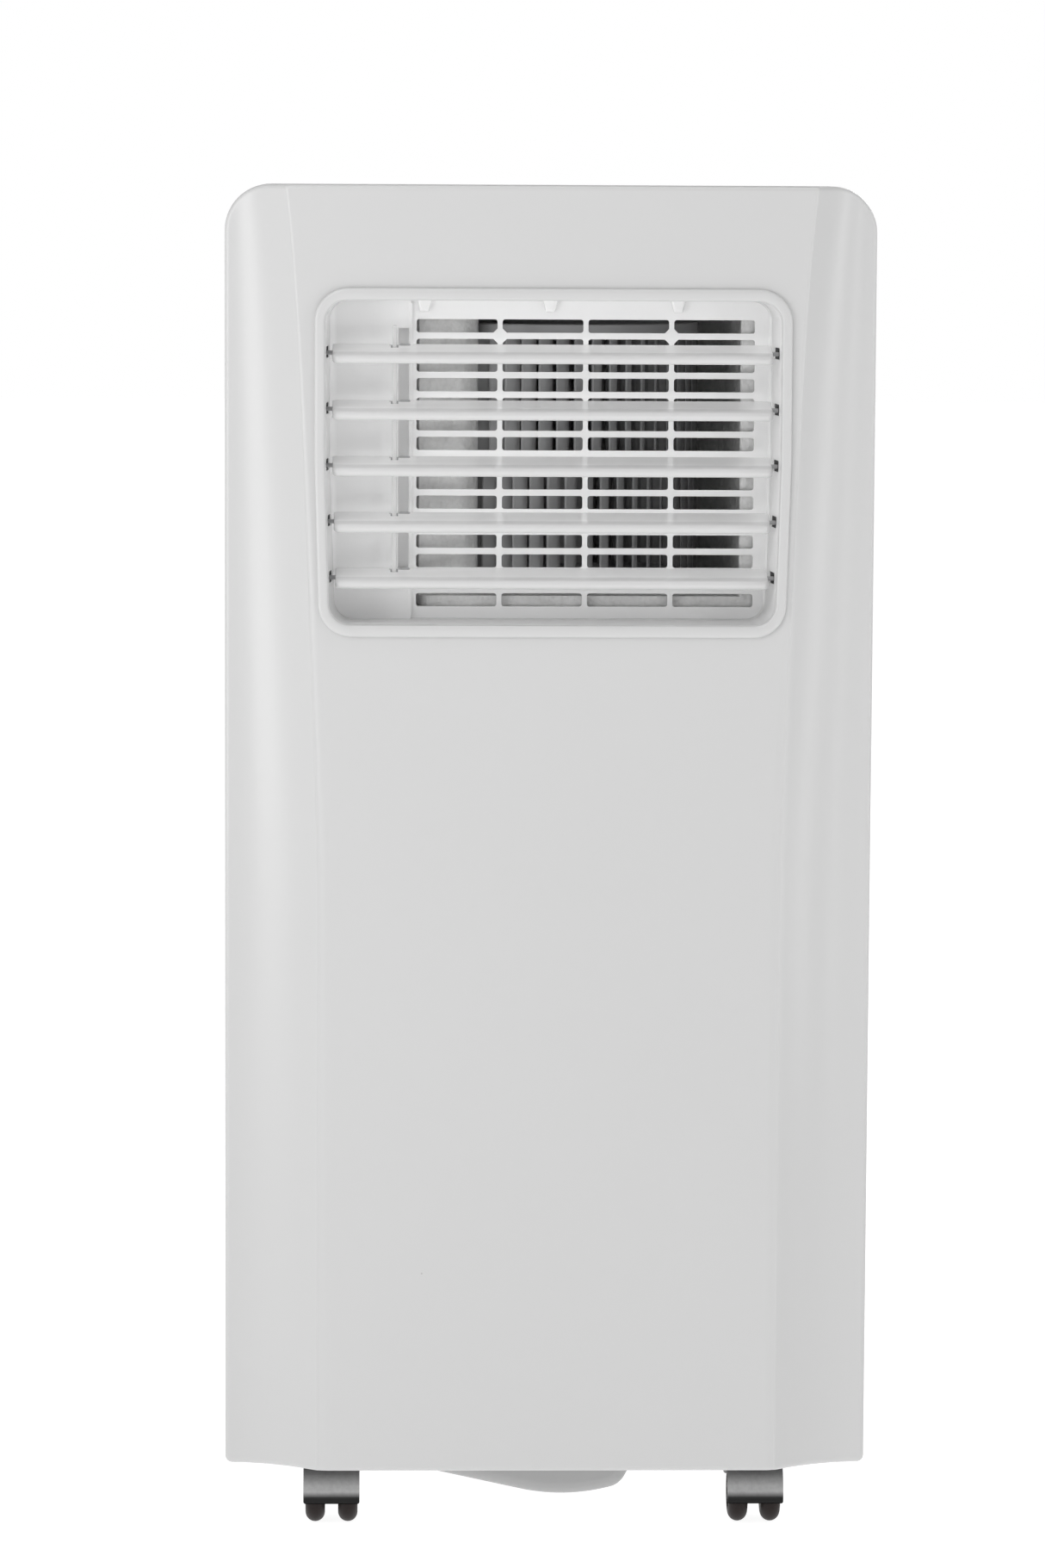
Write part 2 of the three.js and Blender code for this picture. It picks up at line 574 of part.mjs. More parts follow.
function exhaustDuct() {
  const { x, z, r } = EXHAUST;
  const front = COND.y0 - 7;
  const back = REAR_Y - WALL - 1;
  const outer = box(x - 78, x + 78, front, back, 261.4, 409);
  const hollow = box(x - 75.5, x + 75.5, front + WALL, back - WALL, 263.9, 406.5);
  const inlet = box(33, 97, front + WALL, COND.y1 + 4.5, 250, 270);
  return cut(outer, hollow, inlet, rod('y', x, z, back - 10, back + 10, r + 0.5, 24));
}

// The collar that a flexible exhaust hose pushes onto.
function exhaustCollar() {
  const { r, wall, flangeR, out } = EXHAUST;
  const profile = [
    [r, -3], [r + wall, -3], [r + wall, 0.4], [flangeR, 0.4], [flangeR, 3],
    [r + wall, 3], [r + wall, out], [r, out], [r, -3]];
  return turned(profile, 24);
}

// ---------------------------------------------------------------- refrigeration
function coil(x0, x1, y0, y1, z0, z1, rows) {
  const block = box(x0, x1, y0, y1, z0, z1);
  const plates = [x0 - 3, x1 + 1.4].map((x) => box(x, x + 1.6, y0 - 3, y1 + 3, z0 - 2, z1 + 2));
  const spacers = [x0 - 2, x1 - 0.1].map((x) => box(x, x + 2, y0 + 1, y1 - 1, z0 + 1, z1 - 1));
  const bends = [];
  const pitch = (z1 - z0) / rows;
  for (let i = 0; i < rows; i += 1) {
    const z = z0 + pitch * (i + 0.5);
    bends.push(
      box(x0 - 9, x0 - 2, y0 + 5, y1 - 5, z - 3, z + 3),
      box(x1 + 2, x1 + 9, y0 + 5, y1 - 5, z - 3, z + 3));
  }
  return join(block, ...plates, ...spacers, ...bends);
}

const COMPRESSOR = { x: -98, y: 18, r: 47, z0: 56, z1: 258 };
const ACCUMULATOR = { x: -98, y: -60, r: 24, z0: 96, z1: 226 };

function compressor() {
  const { r, z0, z1 } = COMPRESSOR;
  const shell = turned([
    [0, z0 + 2], [r * 0.7, z0 + 2], [r, z0 + 16],
    [r, z1 - 22], [r * 0.8, z1 - 6], [r * 0.35, z1], [0, z1]], 24);
  const feet = [0, 1, 2].map((i) => {
    const foot = new THREE.BoxGeometry(36, 28, 4).translate(38, 0, z0).rotateZ((i * 2 * Math.PI) / 3 + 0.35);
    return solidOf(foot);
  });
  const terminals = box(-r - 9, -r + 12, -12, 12, z1 - 70, z1 - 40);
  return join(shell, ...feet, terminals);
}

function accumulator() {
  const { r, z0, z1 } = ACCUMULATOR;
  return turned([
    [0, z0 - 12], [5, z0 - 12], [5, z0], [r * 0.7, z0 + 3], [r, z0 + 14],
    [r, z1 - 14], [r * 0.7, z1 - 3], [5.5, z1], [5.5, z1 + 10], [0, z1 + 10]], 16);
}

function addRefrigeration() {
  add('compressor', compressor(), 'blackSteel').position.set(COMPRESSOR.x, COMPRESSOR.y, 0);
  add('accumulator', accumulator(), 'blackSteel').position.set(ACCUMULATOR.x, ACCUMULATOR.y, 0);
  add('condenser_coil', coil(-112, 118, REAR_Y - 58, REAR_Y - 24, 70, 250, 7), 'fins');
  add('evaporator_coil', coil(-112, 130, REAR_Y - 62, REAR_Y - 26, 430, 634, 8), 'fins');
  add('discharge_pipe', pipe([
    [-98, 18, 259], [-98, 18, 284], [-104, 38, 300], [-132, 62, 290], [-139, 94, 262], [-135, 100, 240],
    [-130, 100, 236], [-121.4, 100, 236]], 4, 14), 'copper');
  add('suction_pipe', pipe([
    [-98, -60, 237], [-98, -60, 262], [-112, -60, 300], [-150, -40, 340], [-150, 60, 380], [-150, 88, 420],
    [-150, 92, 470], [-146, 92, 494], [-134, 92, 500], [-121.4, 92, 500]], 5, 18), 'copper');
  add('liquid_line', pipe([
    [-121.4, 100, 84], [-136, 100, 84], [-150, 104, 110], [-150, 112, 200], [-150, 118, 300],
    [-150, 118, 420], [-146, 106, 444], [-134, 100, 450], [-121.4, 100, 450]], 3, 16), 'copper');
}

// ---------------------------------------------------------------- inside the casing
const DECK = { half: 154, y0: FRONT_Y + 44, y1: REAR_Y - 8, z0: 412, z1: 424, wall: 3 };

function partitionDeck() {
  const { half, y0, y1, z0, z1, wall } = DECK;
  const floor = z0 + wall;
  const plate = cut(
    prismZ(rectangle(-half, half, y0, y1, 10), z0, z1, 2),
    prismZ(rectangle(-half + wall, half - wall, y0 + wall, y1 - wall, 8), floor, z1 + 6, 2));
  const motorSeat = rod('z', EVAP.x, EVAP.y, z0 + 1, z1 + 6, 26, 16);
  const pipeGap = box(-half - 6, -half + 14, 70, 130, z0 - 12, z1 + 6);
  return cut(join(plate, motorSeat), pipeGap);
}

const BOX_X = { x0: -136, x1: -82 };

function controlBox() {
  const { x0, x1 } = BOX_X;
  const shell = box(x0, x1, FRONT_Y + 54, FRONT_Y + 196, 430, 548);
  return cut(shell, box(x0 + 2, x1 - 2, FRONT_Y + 56, FRONT_Y + 194, 432, 560));
}

function controlBoard() {
  const x = BOX_X.x0 + 6;
  const y = FRONT_Y + 62;
  const board = box(x, x + 1.6, y, y + 120, 440, 540);
  const relay = box(x + 1, x + 18, y + 8, y + 30, 452, 480);
  const transformer = box(x + 1, x + 30, y + 84, y + 114, 448, 482);
  const sink = box(x + 1, x + 12, y + 12, y + 60, 504, 526);
  return join(board, relay, transformer, sink);
}

function cordGland() {
  const { x, z, r } = GLAND;
  const body = join(
    rod('y', x, z, REAR_Y - 8, REAR_Y + 5, r - GAP, 12),
    rod('y', x, z, REAR_Y + GAP, REAR_Y + 3, r + 3, 12));
  return cut(body, rod('y', x, z, REAR_Y - 20, REAR_Y + 20, 3.6, 12));
}

// A hand grip let into a side wall: a cup that opens outwards, with a lip outside the wall.
function handle(side) {
  const { y0, y1, z0, z1, depth } = HANDLE;
  const mirrored = (a, b, ...rest) => {
    const [near, far] = [side * a, side * b].sort((first, second) => first - second);
    return box(near, far, ...rest);
  };
  const out = HOUSING_HALF;
  const cup = mirrored(out - depth, out + 0.5, y0 + GAP, y1 - GAP, z0 + GAP, z1 - GAP);
  const lip = mirrored(out + GAP, out + 1.4, y0 - 3, y1 + 3, z0 - 3, z1 + 3);
  const hollow = mirrored(out - depth + 2, out + 5, y0 + 2.3, y1 - 2.3, z0 + 2.3, z1 - 2.3);
  return cut(join(cup, lip), hollow);
}

// A filter frame with its outer bars: it fills a window in the rear wall and pulls straight out.
function filterFrame({ half, z0, z1 }, bars) {
  const front = REAR_Y - 12;
  const frame = prismY(rectangle(-half + GAP, half - GAP, z0 + GAP, z1 - GAP, 5), front, REAR_Y + 1.2, 2);
  const hollow = box(-half + 7, half - 7, front - 5, REAR_Y - 1.6, z0 + 7, z1 - 7);
  const slots = [];
  const pitch = (z1 - z0 - 20) / bars;
  for (let i = 0; i < bars; i += 1) {
    const z = z0 + 10 + i * pitch;
    for (const [x0, x1] of [[-half + 10, -2], [2, half - 10]]) {
      slots.push(box(x0, x1, front - 5, REAR_Y + 5, z + 2, z + pitch - 2));
    }
  }
  return cut(frame, hollow, ...slots);
}

function drainCap() {
  return turned([[0, -9], [5.6, -9], [5.6, 0.5], [11, 0.5], [11, 4.5], [9, 6.5], [0, 6.5]], 12);
}

// ---------------------------------------------------------------- controls on the top
function controlFascia() {
  const { half, y0, y1, z0, z1 } = FASCIA;
  const plate = prismZ(rectangle(-half + GAP, half - GAP, y0 + GAP, y1 - GAP, 7.7), z0, z1, 3);
  const middle = (y0 + y1) / 2;
  const holes = BUTTON_X.map((x) => rod('z', x, middle, z0 - 5, z1 + 5, BUTTON.capR + 0.4, 12));
  const near = middle - WINDOW.depth / 2;
  const far = middle + WINDOW.depth / 2;
  const pane = box(-WINDOW.half, WINDOW.half, near, far, z0 - 5, z1 + 5);
  return cut(plate, pane, ...holes);
}

function addControls() {
  const middle = (FASCIA.y0 + FASCIA.y1) / 2;
  add('control_fascia', controlFascia(), 'gloss');
  const { half, depth, thick } = WINDOW;
  add('display_window', box(
    -half + GAP, half - GAP, middle - depth / 2 + GAP, middle + depth / 2 - GAP,
    FASCIA.z1 - thick, FASCIA.z1), 'black');
  const board = box(-76, 76, middle - 18, middle + 18, 678.5, 680);
  const switches = BUTTON_X.map((x) => box(x - 3, x + 3, middle - 3, middle + 3, 679, 683));
  const digits = box(-18, 18, middle - 8, middle + 8, 679, 688);
  add('display_board', join(board, digits, ...switches), 'board');
  const names = ['power', 'mode', 'timer', 'cooler', 'warmer', 'fan_speed'];
  names.forEach((name, i) => {
    const { capR, flangeR, z0, flangeTop, top } = BUTTON;
    const profile = [[0, z0], [flangeR, z0], [flangeR, flangeTop], [capR, flangeTop], [capR, top - 0.6],
      [capR - 0.8, top], [0, top]];
    add(`${name}_button`, turned(profile, 12), 'key').position.set(BUTTON_X[i], middle, 0);
  });
}

// ---------------------------------------------------------------- casters
// A twin-wheel caster about its stem: a hood over both wheels, a web between them, the stem and the axle.
function casterHousing() {
  const { wheelR, trail, hoodR, hoodWall, hoodW } = CASTER;
  const hood = cut(
    rod('x', trail, wheelR + 1, -hoodW / 2, hoodW / 2, hoodR, 20),
    rod('x', trail, wheelR + 1, -hoodW, hoodW, hoodR - hoodWall, 20),
    // The wheels show below the hood in front, and the hood stops above the axle behind.
    box(-30, 30, -60, 60, -20, 12.6),
    box(-30, 30, trail, 60, -20, wheelR + 6));
  const web = box(-2.6, 2.6, trail - 9, trail + 9, 12.8, wheelR + hoodR - 0.6);
  const stem = join(rod('z', 0, 0, 30, 36.6, 8, 12), rod('z', 0, 0, 30, 56, 4, 12));
  const hub = rod('x', trail, wheelR, -2.6, 2.6, 5, 12);
  const axle = rod('x', trail, wheelR, -13.2, 13.2, 2, 10);
  const keepout = [-1, 1].map((side) => {
    const near = side * 2.9;
    const far = side * 13.9;
    return rod('x', trail, wheelR, Math.min(near, far), Math.max(near, far), wheelR + 0.6, 16);
  });
  return join(cut(join(hood, stem), ...keepout), web, hub, axle);
}

function casterWheel() {
  const { wheelR: r, wheelW: w } = CASTER;
  return turned([
    [2.2, -w / 2], [r - 4.2, -w / 2], [r - 1, -w / 2 + 1.9], [r, 0],
    [r - 1, w / 2 - 1.9], [r - 4.2, w / 2], [2.2, w / 2], [2.2, -w / 2]], 16);
}

function addCaster(name, x, y) {
  const caster = new THREE.Group();
  caster.position.set(x, y, 0);
  unit.add(caster);
  add(`caster_${name}`, casterHousing(), 'hood', caster);
  for (const [side, sign] of [['left', -1], ['right', 1]]) {
    const wheel = add(`wheel_${name}_${side}`, casterWheel(), 'wheel', caster);
    wheel.position.set((sign * CASTER.spread) / 2, CASTER.trail, CASTER.wheelR);
    wheel.rotation.y = Math.PI / 2;
  }
}

// ---------------------------------------------------------------- the whole unit
add('front_panel', frontPanel(), 'casing');
add('rear_housing', rearHousing(), 'casing');
add('top_cover', topCover(), 'casing');
add('base_pan', basePan(), 'casing');
add('outlet_frame', outletFrame(), 'gloss');
add('outlet_grille', outletGrille(), 'gloss');
addLouvers();
addEvaporatorBlower();
addCondenserBlower();
add('exhaust_duct', exhaustDuct(), 'casing');
const collar = add('exhaust_collar', exhaustCollar(), 'casing');
collar.position.set(EXHAUST.x, REAR_Y, EXHAUST.z);
collar.rotation.x = -Math.PI / 2;
addRefrigeration();
add('partition_deck', partitionDeck(), 'casing');
add('control_box', controlBox(), 'steel');
add('control_board', controlBoard(), 'board');
add('run_capacitor', rod('y', BOX_X.x0 + 39, 466, FRONT_Y + 98, FRONT_Y + 140, 11, 16), 'steel');
add('cord_gland', cordGland(), 'rubber');
add('handle_left', handle(-1), 'casing');
add('handle_right', handle(1), 'casing');
add('filter_upper', filterFrame(FILTER_UPPER, 12), 'casing');
add('filter_lower', filterFrame(FILTER_LOWER, 9), 'casing');
for (const [name, z] of [['drain_cap_upper', DRAIN.upperZ], ['drain_cap_lower', DRAIN.lowerZ]]) {
  const cap = add(name, drainCap(), 'rubber');
  cap.position.set(DRAIN.x, REAR_Y, z);
  cap.rotation.x = -Math.PI / 2;
}
addControls();
addCaster('front_left', -CASTER_X, CASTER_Y[0]);
addCaster('front_right', CASTER_X, CASTER_Y[0]);
addCaster('rear_left', -CASTER_X, CASTER_Y[1]);
addCaster('rear_right', CASTER_X, CASTER_Y[1]);

export default unit;
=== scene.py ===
"""The looks of a portable air conditioner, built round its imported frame: metres, +Z up, front facing -Y."""
import json
import math

import bmesh
import bpy
from mathutils import Matrix, Vector


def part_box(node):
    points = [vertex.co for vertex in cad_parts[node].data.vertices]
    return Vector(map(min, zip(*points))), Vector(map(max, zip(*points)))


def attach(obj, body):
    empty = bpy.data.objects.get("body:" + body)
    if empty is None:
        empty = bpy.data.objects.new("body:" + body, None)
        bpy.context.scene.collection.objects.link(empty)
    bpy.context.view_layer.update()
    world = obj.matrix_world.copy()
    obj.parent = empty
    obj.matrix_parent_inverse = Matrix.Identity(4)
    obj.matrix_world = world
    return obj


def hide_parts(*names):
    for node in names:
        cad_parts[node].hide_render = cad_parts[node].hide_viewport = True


MM = 0.001
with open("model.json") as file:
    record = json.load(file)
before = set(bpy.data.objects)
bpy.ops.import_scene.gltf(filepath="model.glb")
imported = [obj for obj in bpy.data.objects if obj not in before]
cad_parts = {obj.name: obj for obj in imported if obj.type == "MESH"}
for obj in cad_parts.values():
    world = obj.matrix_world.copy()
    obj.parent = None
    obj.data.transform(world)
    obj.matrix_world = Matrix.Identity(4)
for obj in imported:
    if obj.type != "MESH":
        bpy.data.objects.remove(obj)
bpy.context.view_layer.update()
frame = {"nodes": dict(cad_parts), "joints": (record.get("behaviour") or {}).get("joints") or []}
scene = bpy.context.scene

# Places on the frame that several pieces share.
PANEL_LO, PANEL_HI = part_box("front_panel")
FRONT = PANEL_LO.y
SEAM = PANEL_HI.y
BEZEL_LO, BEZEL_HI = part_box("outlet_frame")
BEZEL_X = (BEZEL_LO.x + BEZEL_HI.x) / 2
BEZEL_HALF = (BEZEL_HI.x - BEZEL_LO.x) / 2
GRILLE_LO, GRILLE_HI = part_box("outlet_grille")
GRILLE_FRONT = FRONT + 34 * MM
JOINTS = {j["name"]: j for j in frame["joints"]}


def centre_of(name):
    """The middle (x, y, z) of a CAD node's box."""
    return tuple((a + b) / 2 for a, b in zip(*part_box(name)))


def in_mm(profile, base=0.0):
    """A profile written in millimetres, (radius, height over the base), in metres."""
    return [(r * MM, base + h * MM) for r, h in profile]


# ---------------------------------------------------------------- mesh tools
class Shape:
    """Vertices and faces that grow into one piece."""

    def __init__(self):
        self.verts = []
        self.faces = []

    def add(self, verts, faces):
        start = len(self.verts)
        self.verts += [Vector(v) for v in verts]
        self.faces += [[i + start for i in face] for face in faces]
        return self

    def join(self, other):
        return self.add(other.verts, other.faces)

    def moved(self, matrix):
        return Shape().add([matrix @ v for v in self.verts], self.faces)


def strips(rows, columns, wrap_rows=False, wrap_columns=False):
    """Quads of a grid of vertices, numbered row by row."""
    faces = []
    for r in range(rows if wrap_rows else rows - 1):
        for c in range(columns if wrap_columns else columns - 1):
            r2, c2 = (r + 1) % rows, (c + 1) % columns
            faces.append([r * columns + c, r * columns + c2, r2 * columns + c2, r2 * columns + c])
    return faces


def loft(loops, ring=False):
    """A solid through closed loops of equal length: capped at both ends, or joined last to first."""
    count = len(loops[0])
    faces = strips(len(loops), count, wrap_rows=ring, wrap_columns=True)
    if not ring:
        last = (len(loops) - 1) * count
        faces += [list(range(count))[::-1], [last + i for i in range(count)]]
    return Shape().add([p for loop in loops for p in loop], faces)


def rounded(corners, inset=0.0, steps=6):
    """Points round a convex outline of corners (a, b, radius), anticlockwise, moved inwards by inset."""
    count = len(corners)
    points = []
    for i, (a, b, radius) in enumerate(corners):
        here = Vector((a, b))
        back = (Vector(corners[i - 1][:2]) - here).normalized()
        ahead = (Vector(corners[(i + 1) % count][:2]) - here).normalized()
        half = back.angle(ahead) / 2
        middle = (back + ahead).normalized() if (back + ahead).length > 1e-6 else Vector((-ahead.y, ahead.x))
        if radius <= 0:
            points.append(here + middle * (inset / math.sin(half)))
            continue
        reach = max(radius - inset, 0.02 * MM)
        centre = here + middle * ((inset + reach) / math.sin(half))
        first = math.atan2(-middle.y, -middle.x) - (math.pi / 2 - half)
        for k in range(steps + 1):
            turn = first + (math.pi - 2 * half) * k / steps
            points.append(centre + reach * Vector((math.cos(turn), math.sin(turn))))
    return points


def rectangle(a0, a1, b0, b1, radius):
    return [(a0, b0, radius), (a1, b0, radius), (a1, b1, radius), (a0, b1, radius)]


def lay(point, level, axis):
    """A point of an outline, put at a level along an axis: outlines are (x, y), (x, z) or (y, z)."""
    a, b = point
    if axis == "z":
        return Vector((a, b, level))
    if axis == "y":
        return Vector((a, level, b))
    return Vector((level, a, b))


def plate(corners, low, high, axis, edge=0.0, steps=6, edge_steps=3, low_edge=None):
    """A solid of an outline between two levels, with its edges rounded off by edge."""
    low_edge = edge if low_edge is None else low_edge
    levels = []
    for size, base, sign in ((low_edge, low, 1), (edge, high, -1)):
        turns = [math.pi / 2 * k / edge_steps for k in range(edge_steps + 1)] if size else [math.pi / 2]
        rounding = [(size * (1 - math.sin(t)), base + sign * size * (1 - math.cos(t))) for t in turns]
        levels.append(rounding)
    sections = levels[0] + levels[1][::-1]
    return loft([[lay(p, level, axis) for p in rounded(corners, inset, steps)] for inset, level in sections])


def block(low, high, edge=0.0, axis="z", corner=None):
    """A box between two corners with rounded edges."""
    a, b, h = {"z": (0, 1, 2), "y": (0, 2, 1), "x": (1, 2, 0)}[axis]
    corner = edge if corner is None else corner
    return plate(rectangle(low[a], high[a], low[b], high[b], corner), low[h], high[h], axis, edge, 4, 2)


def turned(profile, steps=48, centre=(0, 0, 0), axis="z"):
    """A profile (radius, height) turned round an axis. It starts and ends on the axis, or closes."""
    on_axis = profile[0][0] == 0
    inner = profile[1:-1] if on_axis else profile
    verts = []
    for r, h in inner:
        for k in range(steps):
            turn = 2 * math.pi * k / steps
            verts.append(lay((r * math.cos(turn), r * math.sin(turn)), h, axis) + Vector(centre))
    faces = strips(len(inner), steps, wrap_rows=not on_axis, wrap_columns=True)
    if on_axis:
        last = len(verts) - steps
        for row, (_, h) in ((0, profile[0]), (last, profile[-1])):
            tip = len(verts)
            verts.append(lay((0, 0), h, axis) + Vector(centre))
            faces += [[row + k, row + (k + 1) % steps, tip] for k in range(steps)]
    return Shape().add(verts, faces)


def disc(radius, low, high, edge, centre=(0, 0, 0), axis="z", steps=48):
    """A cylinder with rounded rims."""
    turns = (0, 0.5, 1.05, math.pi / 2)
    rim = [(radius - edge * (1 - math.sin(t)), edge * (1 - math.cos(t))) for t in turns]
    profile = [(0, low)] + [(r, low + h) for r, h in rim]
    profile += [(r, high - h) for r, h in rim[::-1]] + [(0, high)]
    return turned(profile, steps, centre, axis)


def object_of(name, shape):
    mesh = bpy.data.meshes.new(name)
    mesh.from_pydata(shape.verts, [], shape.faces)
    mesh.validate()
    made = bpy.data.objects.new(name, mesh)
    scene.collection.objects.link(made)
    outward(made)
    return made


def outward(made):
    mesh = bmesh.new()
    mesh.from_mesh(made.data)
    bmesh.ops.remove_doubles(mesh, verts=mesh.verts, dist=1e-7)
    bmesh.ops.recalc_face_normals(mesh, faces=mesh.faces)
    mesh.to_mesh(made.data)
    mesh.free()


def apply(made):
    """Makes the modified mesh the object's own."""
    graph = bpy.context.evaluated_depsgraph_get()
    mesh = bpy.data.meshes.new_from_object(made.evaluated_get(graph), depsgraph=graph)
    old = made.data
    made.modifiers.clear()
    made.data = mesh
    bpy.data.meshes.remove(old)


def cut(made, *cutters):
    """Cuts shapes out of an object, one after another."""
    for shape in cutters:
        tool = object_of("tool", shape)
        step = made.modifiers.new("cut", "BOOLEAN")
        step.operation = "DIFFERENCE"
        step.solver = "EXACT"
        step.use_self = True
        step.object = tool
        apply(made)
        bpy.data.objects.remove(tool)
    return made


def bevel(made, width, segments=2, angle=50):
    step = made.modifiers.new("bevel", "BEVEL")
    step.width = width
    step.segments = segments
    step.limit_method = "ANGLE"
    step.angle_limit = math.radians(angle)
    step.harden_normals = False
    step.use_clamp_overlap = True
    apply(made)
    return made


def finish_piece(made, material, body="casing", replaces=None, slot=None, sharp=32, weighted=True):
    """Shades a piece smoothly up to an angle, gives it its material and ties it to the frame."""
    made.data.polygons.foreach_set("use_smooth", [True] * len(made.data.polygons))
    made.data.set_sharp_from_angle(angle=math.radians(sharp))
    if weighted:
        step = made.modifiers.new("normals", "WEIGHTED_NORMAL")
        step.keep_sharp = True
        apply(made)
    made.data.materials.clear()
    made.data.materials.append(material)
    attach(made, body)
    if replaces:
        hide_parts(replaces)
    return made


def piece(name, shape, material, **rest):
    return finish_piece(object_of(name, shape), material, **rest)


# ---------------------------------------------------------------- materials
class Nodes:
    """A material's node tree, with short ways to add and join nodes."""

    def __init__(self, name):
        self.material = bpy.data.materials.new(name)
        self.material.use_nodes = True
        self.tree = self.material.node_tree
        self.shader = self.tree.nodes["Principled BSDF"]
        self.place = self.add("ShaderNodeTexCoord").outputs["Object"]

    def add(self, kind, **settings):
        node = self.tree.nodes.new(kind)
        for key, value in settings.items():
            if key in node.inputs:
                node.inputs[key].default_value = value
            else:
                setattr(node, key, value)
        return node

    def link(self, source, target):
        self.tree.links.new(source, target)

    def noise(self, scale, detail=3.0, stretch=(1, 1, 1)):
        mapping = self.add("ShaderNodeMapping")
        mapping.inputs["Scale"].default_value = stretch
        self.link(self.place, mapping.inputs["Vector"])
        node = self.add("ShaderNodeTexNoise")
        node.inputs["Scale"].default_value = scale
        node.inputs["Detail"].default_value = detail
        self.link(mapping.outputs["Vector"], node.inputs["Vector"])
        return node.outputs["Fac"]

    def cells(self, scale, randomness=1.0):
        node = self.add("ShaderNodeTexVoronoi")
        node.feature = "F1"
        node.inputs["Scale"].default_value = scale
        node.inputs["Randomness"].default_value = randomness
        self.link(self.place, node.inputs["Vector"])
        return node.outputs["Distance"]

    def ramp(self, value, stops):
        """Maps 0..1 through (position, value or colour) stops."""
        node = self.add("ShaderNodeValToRGB")
        elements = node.color_ramp.elements
        while len(elements) < len(stops):
            elements.new(0.5)
        for element, (position, colour) in zip(elements, stops):
            element.position = position
            element.color = (*colour, 1) if hasattr(colour, "__len__") else (colour, colour, colour, 1)
        self.link(value, node.inputs["Fac"])
        return node.outputs["Color"]

    def mix(self, factor, first, second, blend="MIX"):
        node = self.add("ShaderNodeMix")
        node.data_type = "RGBA"
        node.blend_type = blend
        for socket, value in ((node.inputs[0], factor), (node.inputs[6], first), (node.inputs[7], second)):
            if hasattr(value, "is_linked"):
                self.link(value, socket)
            elif hasattr(value, "__len__"):
                socket.default_value = (*value, 1)
            else:
                socket.default_value = value
        return node.outputs[2]

    def bump(self, height, distance, strength=1.0, after=None):
        node = self.add("ShaderNodeBump")
        node.inputs["Distance"].default_value = distance
        node.inputs["Strength"].default_value = strength
        self.link(height, node.inputs["Height"])
        if after is not None:
            self.link(after, node.inputs["Normal"])
        return node.outputs["Normal"]

    def along(self, axis, start, end):
        """0 to 1 between two places along an axis of the object."""
        split = self.add("ShaderNodeSeparateXYZ")
        self.link(self.place, split.inputs["Vector"])
        span = self.add("ShaderNodeMapRange", **{"From Min": start, "From Max": end})
        self.link(split.outputs[axis], span.inputs["Value"])
        return span.outputs["Result"]

    def normal(self, value):
        self.link(value, self.shader.inputs["Normal"])

    def set(self, **values):
        for key, value in values.items():
            socket = self.shader.inputs[key.replace("_", " ")]
            if hasattr(value, "is_linked"):
                self.link(value, socket)
            elif hasattr(value, "__len__"):
                socket.default_value = (*value, 1)
            else:
                socket.default_value = value
        return self.material


def around(colour, spread):
    """Two colours, a little darker and a little lighter."""
    return [tuple(c * (1 - spread) for c in colour), tuple(min(1, c * (1 + spread)) for c in colour)]


def moulded(name, colour, gloss, grain, dust=0.0, scale=900.0, shine=0.5):
    """Injection-moulded plastic: a fine grain, slow waves in gloss and tone, and a few specks of dust."""
    nodes = Nodes(name)
    low, high = around(colour, 0.012)
    tone = nodes.mix(nodes.noise(7.0, 4.0), low, high)
    if dust:
        specks = nodes.ramp(nodes.cells(55.0), [(0.0, 1.0), (0.018, 1.0), (0.03, 0.0), (1.0, 0.0)])
        sparse = nodes.ramp(nodes.noise(23.0, 1.0), [(0.0, 0.0), (0.66, 0.0), (0.70, 1.0), (1.0, 1.0)])
        mask = nodes.mix(1.0, specks, sparse, "MULTIPLY")
        tone = nodes.mix(mask, tone, tuple(c * (1 - dust) for c in colour))
    rough = nodes.ramp(nodes.noise(11.0, 5.0), [(0.0, gloss * 0.8), (1.0, gloss * 1.2)])
    nodes.normal(nodes.bump(nodes.noise(scale, 2.0), grain, 0.35))
    nodes.shader.inputs["Specular IOR Level"].default_value = shine
    return nodes.set(Base_Color=tone, Roughness=rough)


def foam_material():
    """Expanded bead foam: pale cells with dimmer rims, and a rough skin."""
    nodes = Nodes("bead_foam")
    cells = nodes.cells(420.0)
    heart, middle, rim = (0.86, 0.86, 0.855), (0.84, 0.84, 0.835), (0.78, 0.78, 0.775)
    tone = nodes.ramp(cells, [(0.0, heart), (0.55, middle), (0.95, rim)])
    wear = nodes.ramp(nodes.noise(45.0, 6.0), [(0.3, 0.84), (0.7, 1.0)])
    tone = nodes.mix(1.0, tone, wear, "MULTIPLY")
    first = nodes.bump(cells, 0.25 * MM, -0.4)
    second = nodes.bump(nodes.noise(700.0, 3.0), 0.3 * MM, 0.5, first)
    nodes.normal(nodes.bump(nodes.noise(170.0, 2.0), 2.5 * MM, 0.7, second))
    return nodes.set(Base_Color=tone, Roughness=0.85)


def sheet_metal(name, colour, rough, scratches=0.2):
    nodes = Nodes(name)
    low, high = around(colour, 0.06)
    tone = nodes.mix(nodes.noise(40.0, 6.0), low, high)
    nodes.normal(nodes.bump(nodes.noise(500.0, 3.0, (1, 1, 12)), 0.05 * MM, scratches))
    value = nodes.ramp(nodes.noise(90.0, 5.0), [(0.3, rough * 0.8), (0.7, rough * 1.25)])
    return nodes.set(Base_Color=tone, Roughness=value, Metallic=1.0)


